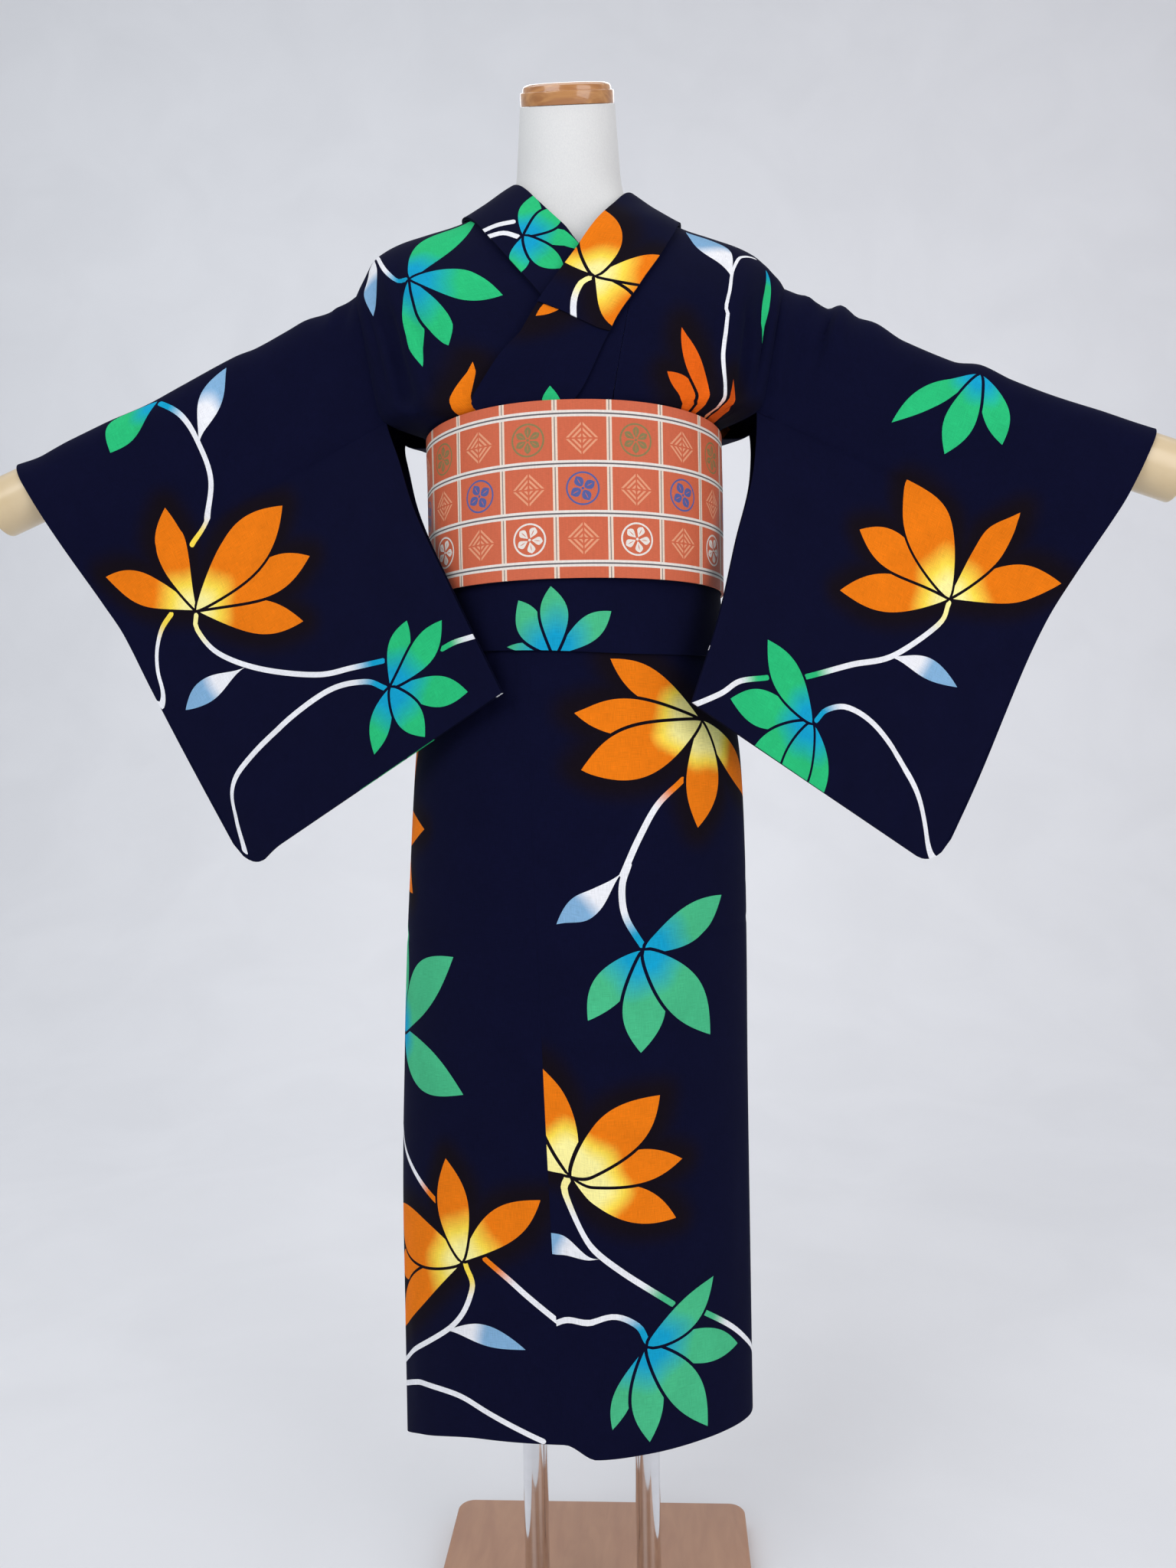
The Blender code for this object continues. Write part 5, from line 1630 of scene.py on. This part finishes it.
FOLDS = {
    "body_left_upper": Folds(
        (0.020, 0.262, 0.026, 0.128, 0.0080, -0.0040, 0.003),
        (0.040, 0.240, 0.045, 0.140, 0.0085, 0.0030, 0.002),
        (0.064, 0.246, 0.060, 0.124, 0.0060, -0.0042, -0.005),
        (0.078, 0.215, 0.086, 0.140, 0.0100, 0.0016, 0.000),
        (0.034, 0.330, 0.030, 0.280, 0.0070, -0.0016, 0.002),
        (0.030, 0.560, 0.050, 0.700, 0.0080, -0.0035, 0.003),
        (0.055, 0.540, 0.074, 0.690, 0.0090, 0.0022, 0.002),
        (0.120, 0.570, 0.128, 0.720, 0.0120, -0.0018, 0.003),
    ),
    "body_right_upper": Folds(
        (0.131, 0.236, 0.142, 0.126, 0.0065, -0.0040, 0.003),
        (0.150, 0.222, 0.154, 0.140, 0.0080, 0.0026, 0.002),
        (0.166, 0.236, 0.176, 0.130, 0.0090, -0.0046, 0.002),
        (0.186, 0.290, 0.184, 0.180, 0.0080, 0.0018, 0.001),
        (0.108, 0.210, 0.112, 0.140, 0.0100, 0.0014, 0.001),
        (0.168, 0.555, 0.150, 0.695, 0.0080, -0.0034, -0.003),
        (0.145, 0.540, 0.128, 0.690, 0.0095, 0.0020, -0.002),
        (0.080, 0.565, 0.070, 0.720, 0.0120, -0.0016, 0.003),
    ),
    "sleeve_left": Folds(
        (0.182, 0.440, 0.187, 0.372, 0.0080, -0.0022, 0.002),
        (0.196, 0.430, 0.204, 0.345, 0.0140, 0.0018, 0.003),
        (0.378, 0.478, 0.362, 0.428, 0.0065, -0.0030, 0.002),
        (0.366, 0.480, 0.348, 0.440, 0.0070, 0.0022, 0.002),
        (0.330, 0.470, 0.326, 0.380, 0.0160, -0.0018, 0.004),
        (0.024, 0.415, 0.027, 0.345, 0.0140, 0.0030, 0.000),
        (0.372, 0.310, 0.373, 0.030, 0.0050, -0.0012, 0.001),
        (0.120, 0.130, 0.135, 0.010, 0.0180, -0.0018, 0.004),
        (0.255, 0.150, 0.240, 0.020, 0.0200, 0.0016, 0.003),
        (0.190, 0.560, 0.200, 0.660, 0.0100, -0.0024, 0.003),
        (0.110, 0.600, 0.100, 0.740, 0.0160, 0.0020, 0.004),
        (0.350, 0.520, 0.330, 0.620, 0.0080, -0.0030, 0.003),
        (0.250, 0.820, 0.262, 0.970, 0.0180, -0.0018, 0.004),
        waves=0.0018, still=SLEEVE_DROP,
    ),
    "sleeve_right": Folds(
        (0.051, 0.466, 0.043, 0.398, 0.0050, -0.0050, 0.001),
        (0.063, 0.468, 0.058, 0.400, 0.0110, 0.0036, 0.002),
        (0.046, 0.410, 0.034, 0.362, 0.0055, -0.0018, 0.002),
        (0.004, 0.462, 0.012, 0.330, 0.0080, 0.0034, 0.002),
        (0.021, 0.460, 0.026, 0.330, 0.0070, -0.0022, 0.002),
        (0.020, 0.488, 0.032, 0.452, 0.0060, 0.0024, 0.001),
        (0.086, 0.470, 0.092, 0.415, 0.0090, -0.0018, 0.002),
        (0.262, 0.100, 0.300, -0.010, 0.0100, -0.0026, 0.003),
        (0.282, 0.110, 0.330, 0.010, 0.0140, 0.0018, 0.003),
        (0.350, 0.330, 0.352, 0.190, 0.0150, -0.0022, 0.004),
        (0.210, 0.400, 0.205, 0.300, 0.0200, -0.0016, 0.004),
        (0.048, 0.525, 0.042, 0.600, 0.0065, -0.0036, 0.001),
        (0.062, 0.520, 0.064, 0.610, 0.0110, 0.0026, 0.002),
        (0.180, 0.590, 0.190, 0.720, 0.0160, -0.0020, 0.004),
        (0.300, 0.840, 0.290, 0.970, 0.0170, -0.0020, 0.003),
        waves=0.0018, still=SLEEVE_DROP,
    ),
    "okumi_right_skirt": Folds(
        level_fold(0.259, DRAWER_FOLD),
        (0.046, 0.060, 0.050, 0.195, 0.0050, -0.0009, 0.001),
        (0.020, 0.080, 0.023, 0.225, 0.0050, -0.0009, 0.001),
        (0.236, 0.480, 0.238, 0.720, 0.0130, 0.0012, 0.002),
        (0.200, 0.740, 0.190, 0.860, 0.0160, -0.0010, 0.003),
    ),
    "body_right_skirt_front": Folds(
        level_fold(0.260, DRAWER_FOLD),
        (0.152, 0.299, 0.008, 0.325, 0.0050, -0.0009, 0.000),
        (0.060, 0.560, 0.064, 0.800, 0.0170, -0.0010, 0.004),
        (0.215, 0.020, 0.222, 0.110, 0.0080, -0.0008, 0.001),
    ),
    "body_left_skirt_back": Folds(
        level_fold(0.251, DRAWER_FOLD),
        (0.180, 0.050, 0.190, 0.300, 0.0110, -0.0016, 0.003),
        (0.100, 0.420, 0.108, 0.760, 0.0180, -0.0016, 0.005),
        waves=0.0008,
    ),
    "body_right_skirt_back": Folds(
        level_fold(0.251, DRAWER_FOLD),
        (0.062, 0.040, 0.058, 0.280, 0.0100, -0.0016, 0.003),
        (0.150, 0.380, 0.142, 0.700, 0.0190, -0.0016, 0.005),
        waves=0.0008,
    ),
    "waist_tuck_front": Folds(
        (0.190, 0.030, 0.212, 0.100, 0.0050, -0.0008, 0.001),
        (0.330, 0.040, 0.326, 0.100, 0.0060, -0.0008, 0.001),
        (0.440, 0.030, 0.450, 0.100, 0.0070, -0.0010, 0.002),
    ),
    "waist_tuck_back": Folds(
        (0.120, 0.030, 0.128, 0.100, 0.0070, -0.0010, 0.002),
        (0.330, 0.020, 0.322, 0.100, 0.0080, -0.0010, 0.002),
    ),
    "sash": Folds(
        (0.700, 0.020, 0.706, 0.150, 0.0120, -0.0008, 0.002),
        (0.330, 0.010, 0.326, 0.150, 0.0120, 0.0008, 0.002),
        (0.070, 0.030, 0.076, 0.140, 0.0120, -0.0010, 0.002),
        waves=0.0005,
    ),
}
print("creases:", sum(len(folds.creases) for folds in FOLDS.values()))

# %% [markdown]
# ## Cut and drape every piece
#
# The pieces below are the whole robe. Each one replaces its solid.

# %% Place every piece
UPPER = {
    "body_left_upper": (BODY_SIZE, left_place, CLOTH),
    "body_right_upper": (BODY_SIZE, right_place, CLOTH),
    "okumi_right_upper": (OKUMI_SIZE, okumi_place, CLOTH),
    "collar": (collar_size, collar_place, COLLAR_WALL),
    "over_collar": (over_size, over_place, CLOTH),
    "sleeve_left": (SLEEVE_SIZE, sleeve_place(-1), CLOTH),
    "sleeve_right": (SLEEVE_SIZE, sleeve_place(1), CLOTH),
}
PIECES = dict(UPPER)
PIECES.update({name: (size, place, CLOTH) for name, (size, place) in SKIRTS.items()})
PIECES.update({name: (size, place, TUCK_WALL) for name, (size, place) in TUCKS.items()})
for name, (size, place, wall) in PIECES.items():
    made = cut_cloth(name + "_cloth", size, place, wall, PRINTS.get(name, ()), FOLDS.get(name))
    dress(made, name)
sash = cut_cloth(
    "sash_cloth", SASH_SIZE, sash_place, SASH_WALL, SASH_PRINT, FOLDS["sash"], brocade, SASH_DYE
)
dress(sash, "sash")

# %% [markdown]
# ## Finishes of the form and its stand
#
# The torso is covered with white jersey, the cap is varnished wood, and the arm bars are cream
# lacquer. The posts are chrome, and the board is tan laminate. Each finish is made of noise on
# Object coordinates, stretched along the way the real grain runs.

# %% Mottled finishes
def mottled(name, light, dark, roughness, stretch, contrast=1.0, relief=0.0, **sockets):
    """Two colours mixed by a stretched noise, which also roughens the surface a little."""
    made = new_finish(name, roughness, **sockets)
    shader, add, link = nodes_of(made)
    place = add("ShaderNodeTexCoord")
    scale = add("ShaderNodeMapping")
    scale.inputs["Scale"].default_value = stretch
    link(place.outputs["Object"], scale.inputs["Vector"])
    noise = add("ShaderNodeTexNoise")
    noise.inputs["Scale"].default_value = 1
    noise.inputs["Detail"].default_value = 5
    noise.inputs["Distortion"].default_value = 0.6
    link(scale.outputs["Vector"], noise.inputs["Vector"])
    spread = add("ShaderNodeMapRange", interpolation_type="SMOOTHSTEP")
    spread.inputs["From Min"].default_value = 0.5 - 0.3 / contrast
    spread.inputs["From Max"].default_value = 0.5 + 0.3 / contrast
    link(noise.outputs["Fac"], spread.inputs["Value"])
    blend = add("ShaderNodeMix", data_type="RGBA")
    blend.inputs["A"].default_value = (*dark, 1)
    blend.inputs["B"].default_value = (*light, 1)
    link(spread.outputs["Result"], blend.inputs["Factor"])
    link(blend.outputs["Result"], shader.inputs["Base Color"])
    rough = math_node(add, link, "MULTIPLY_ADD", noise.outputs["Fac"], 0.12, roughness - 0.06)
    link(rough, shader.inputs["Roughness"])
    if relief:
        bump_node = add("ShaderNodeBump")
        bump_node.inputs["Strength"].default_value = 0.3
        bump_node.inputs["Distance"].default_value = relief
        link(noise.outputs["Fac"], bump_node.inputs["Height"])
        link(bump_node.outputs["Normal"], shader.inputs["Normal"])
    return made


JERSEY = mottled(
    "white_jersey", (0.74, 0.74, 0.73), (0.68, 0.68, 0.68), 0.85, (900, 900, 500),
    relief=0.0004, Sheen_Weight=0.08, Specular_IOR_Level=0.2,
)
CAP_WOOD = mottled(
    "varnished_wood", (0.62, 0.30, 0.10), (0.40, 0.155, 0.040), 0.30, (9, 60, 160),
    contrast=1.4, Coat_Weight=0.8, Coat_Roughness=0.08,
)
BAR_LACQUER = mottled(
    "cream_lacquer", (0.68, 0.54, 0.34), (0.62, 0.47, 0.26), 0.34, (12, 12, 12),
    Coat_Weight=0.35, Coat_Roughness=0.18,
)
CHROME = mottled(
    "chrome", (0.84, 0.84, 0.86), (0.78, 0.78, 0.80), 0.09, (20, 20, 90), Metallic=1.0,
)
BOARD_TAN = mottled(
    "tan_laminate", (0.44, 0.235, 0.135), (0.36, 0.175, 0.098), 0.42, (60, 14, 60),
    relief=0.0002, Coat_Weight=0.15, Coat_Roughness=0.3,
)
print("finishes of the stand: 5")

# %% [markdown]
# ## The dress form
#
# The torso is one turned form. It starts as a circle at the hips, which is extruded level by level
# and scaled to each section, as one would by hand. A table gives the sections.

# %% Extrude a form level by level
def rising(name, sides, *levels):
    """A closed form from a circle that is extruded through levels of z, half width and depth."""
    bpy.ops.object.select_all(action="DESELECT")
    z, width, depth = levels[0]
    bpy.ops.mesh.primitive_circle_add(vertices=sides, radius=1, fill_type="NGON", location=(0, 0, z))
    piece = bpy.context.object
    piece.name = piece.data.name = name
    bpy.ops.object.transform_apply()
    bpy.ops.object.mode_set(mode="EDIT")
    bpy.ops.transform.resize(value=(width, depth, 1), center_override=(0, 0, z))
    for new_z, new_width, new_depth in levels[1:]:
        bpy.ops.mesh.extrude_region_move(TRANSFORM_OT_translate={"value": (0, 0, new_z - z)})
        grow = (new_width / width, new_depth / depth, 1)
        bpy.ops.transform.resize(value=grow, center_override=(0, 0, new_z))
        z, width, depth = new_z, new_width, new_depth
    bpy.ops.mesh.select_all(action="SELECT")
    bpy.ops.mesh.remove_doubles(threshold=1e-6)
    bpy.ops.mesh.normals_make_consistent(inside=False)
    bpy.ops.object.mode_set(mode="OBJECT")
    return piece


def stand_for(piece, node, finish, degrees=35):
    """The finished piece takes its material and its solid's place."""
    piece.data.materials.append(finish)
    smooth(piece, degrees)
    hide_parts(node)
    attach(piece, "root")
    print(piece.name, "for", node, len(piece.data.polygons), "faces")


TORSO = Table(
    "z half_width half_depth",
    (0.800, 0.1240, 0.1040),
    (0.808, 0.1290, 0.1090),
    (0.900, 0.1380, 0.1180),
    (1.000, 0.1350, 0.1220),
    (1.100, 0.1290, 0.1200),
    (1.200, 0.1320, 0.1190),
    (1.270, 0.1430, 0.1090),
    (1.310, 0.1530, 0.0960),
    (1.345, 0.1640, 0.0820),
    (1.368, 0.1660, 0.0720),
    (1.388, 0.1500, 0.0650),
    (1.404, 0.1240, 0.0600),
    (1.422, 0.0860, 0.0560),
    (1.440, 0.0600, 0.0540),
    (1.460, 0.0525, 0.0520),
    (1.500, 0.0495, 0.0495),
    (1.541, 0.0470, 0.0470),
)
NECK_TOP_Z = 1.541
NECK_STRAIGHT_Z = 1.460  # the neck leans forward above this, to its slanted top
NECK_SLANT = math.radians(25.5)


def slant(piece):
    """Turns the neck and its cap forward, level by level, about the middle of each level."""
    for vertex in piece.data.vertices:
        middle = min(vertex.co.z, NECK_TOP_Z)
        share = min(max((middle - NECK_STRAIGHT_Z) / (NECK_TOP_Z - NECK_STRAIGHT_Z), 0), 1)
        around = Matrix.Translation((0, 0, middle)) @ Matrix.Rotation(share * NECK_SLANT, 4, "X")
        vertex.co = around @ Matrix.Translation((0, 0, -middle)) @ vertex.co


torso_levels = np.concatenate([np.linspace(0.800, 0.808, 4), np.linspace(0.82, NECK_TOP_Z, 74)])
torso = rising(
    "torso_jersey", 96,
    *[(z, TORSO.read("half_width", z), TORSO.read("half_depth", z)) for z in torso_levels.tolist()],
)
slant(torso)
stand_for(torso, "dress_form_torso", JERSEY, 50)

# %% The neck's cap
FIT = 0.0004
CAP = (
    (0.0454, 0.0000), (0.0460, 0.0004), (0.0462, 0.0012), (0.0462, 0.0108), (0.0460, 0.0116),
    (0.0454, 0.0120), (0.0440, 0.0121), (0.0438, 0.0126), (0.0435, 0.0150), (0.0427, 0.0168),
    (0.0406, 0.0182), (0.0368, 0.0190), (0.0283, 0.0194), (0.0140, 0.0195),
)
cap = rising("neck_cap_wood", 96, *[(NECK_TOP_Z + FIT + z, r, r) for r, z in CAP])
slant(cap)
stand_for(cap, "neck_cap", CAP_WOOD, 30)


# %% The arm bars and the posts
BAR_START = {-1: 0.1660, 1: 0.1600}  # how far out each bar starts
BAR_DROP = {-1: 0.0022, 1: 0.0040}  # how far each bar lies below the sleeve's straight fold
BAR_END_X = 0.592
BAR_ROUND = 0.0030
BOARD_HEIGHT = 0.020
POST_RADIUS, POST_X = 0.0127, 0.0575
TORSO_LOW_Z = 0.800


def bevel_where(piece, wanted, offset, segments):
    """Rounds the edges whose two ends pass a test."""
    alone(piece)
    bpy.ops.object.mode_set(mode="EDIT")
    bpy.ops.mesh.select_mode(type="EDGE")
    bpy.ops.mesh.select_all(action="DESELECT")
    bpy.ops.object.mode_set(mode="OBJECT")
    for edge in piece.data.edges:
        first, second = (piece.data.vertices[i].co for i in edge.vertices)
        edge.select = wanted(first, second)
    bpy.ops.object.mode_set(mode="EDIT")
    bpy.ops.mesh.bevel(offset=offset, segments=segments)
    bpy.ops.object.mode_set(mode="OBJECT")


def rod(name, radius, start, end, rounding):
    """A round bar between two points, with rounded ends."""
    bpy.ops.object.select_all(action="DESELECT")
    start, end = Vector(start), Vector(end)
    turned = (end - start).to_track_quat("Z", "Y").to_euler()
    bpy.ops.mesh.primitive_cylinder_add(
        vertices=72, radius=radius, depth=(end - start).length, location=(start + end) / 2,
        rotation=turned,
    )
    piece = bpy.context.object
    piece.name = piece.data.name = name
    bpy.ops.object.transform_apply()
    way = (end - start).normalized()
    bevel_where(piece, lambda first, second: abs((first - second).dot(way)) < 1e-5, rounding, 4)
    return piece


for name, row in zip(("arm_bar_left", "arm_bar_right"), CUFFS.rows):
    shoulder, fold_x, fold_z, slope = row[:4]
    dip = math.radians(slope)
    below = (BAR_RADIUS + BAR_CLEAR) / math.cos(dip) + BAR_DROP[shoulder]
    fall = math.tan(dip)
    level = fold_z - below + abs(fold_x) * fall
    start = (shoulder * BAR_START[shoulder], 0, level - BAR_START[shoulder] * fall)
    end = (shoulder * BAR_END_X, 0, level - BAR_END_X * fall)
    stand_for(rod(name + "_rod", BAR_RADIUS, start, end, BAR_ROUND), name, BAR_LACQUER)

for name, x in (("post_left", -POST_X), ("post_right", POST_X)):
    low, high = (x, 0, BOARD_HEIGHT + FIT), (x, 0, TORSO_LOW_Z - FIT)
    stand_for(rod(name + "_tube", POST_RADIUS, low, high, 0.0010), name, CHROME)

# %% The base board
BOARD_WIDTH, BOARD_DEPTH = 0.333, 0.364
BOARD_CORNER, BOARD_ROUND = 0.018, 0.0025

bpy.ops.object.select_all(action="DESELECT")
bpy.ops.mesh.primitive_cube_add(
    size=1, location=(0, 0, BOARD_HEIGHT / 2), scale=(BOARD_WIDTH, BOARD_DEPTH, BOARD_HEIGHT)
)
board = bpy.context.object
board.name = board.data.name = "base_board_laminate"
bpy.ops.object.transform_apply()
bevel_where(board, lambda a, b: abs(a.z - b.z) > BOARD_HEIGHT / 2, BOARD_CORNER, 10)
bevel_where(board, lambda a, b: abs(a.z - b.z) < 1e-6, BOARD_ROUND, 3)
stand_for(board, "base_board", BOARD_TAN, 25)

# %% [markdown]
# ## The stage
#
# The backdrop is one pale sheet that curves up from the floor to the wall, so no line shows where
# they meet. A plane's back edge is extruded upwards, and the fold between them is bevelled wide.

# %% Backdrop
BACKDROP_Y = 3.4
BACKDROP_HIGH = 4.6
BACKDROP_CURVE = 1.8
BACKDROP_HALF = 5.5

bpy.ops.object.select_all(action="DESELECT")
bpy.ops.mesh.primitive_plane_add(
    size=2 * BACKDROP_HALF, location=(0, BACKDROP_Y - BACKDROP_HALF, 0)
)
backdrop = bpy.context.object
backdrop.name = backdrop.data.name = "studio_backdrop"
bpy.ops.object.transform_apply()


def at_back(first, second):
    return min(first.y, second.y) > BACKDROP_Y - 1e-4 and max(first.z, second.z) < 1e-4


alone(backdrop)
bpy.ops.object.mode_set(mode="EDIT")
bpy.ops.mesh.select_mode(type="EDGE")
bpy.ops.mesh.select_all(action="DESELECT")
bpy.ops.object.mode_set(mode="OBJECT")
for edge in backdrop.data.edges:
    edge.select = at_back(*(backdrop.data.vertices[i].co for i in edge.vertices))
bpy.ops.object.mode_set(mode="EDIT")
bpy.ops.mesh.extrude_region_move(TRANSFORM_OT_translate={"value": (0, 0, BACKDROP_HIGH)})
bpy.ops.object.mode_set(mode="OBJECT")
bevel_where(backdrop, at_back, BACKDROP_CURVE, 32)
PAPER = mottled(
    "pale_paper", (0.79, 0.80, 0.83), (0.75, 0.76, 0.79), 0.92, (3, 3, 3), Specular_IOR_Level=0.1
)
backdrop.data.materials.append(PAPER)
smooth(backdrop, 60)
print("backdrop faces:", len(backdrop.data.polygons))
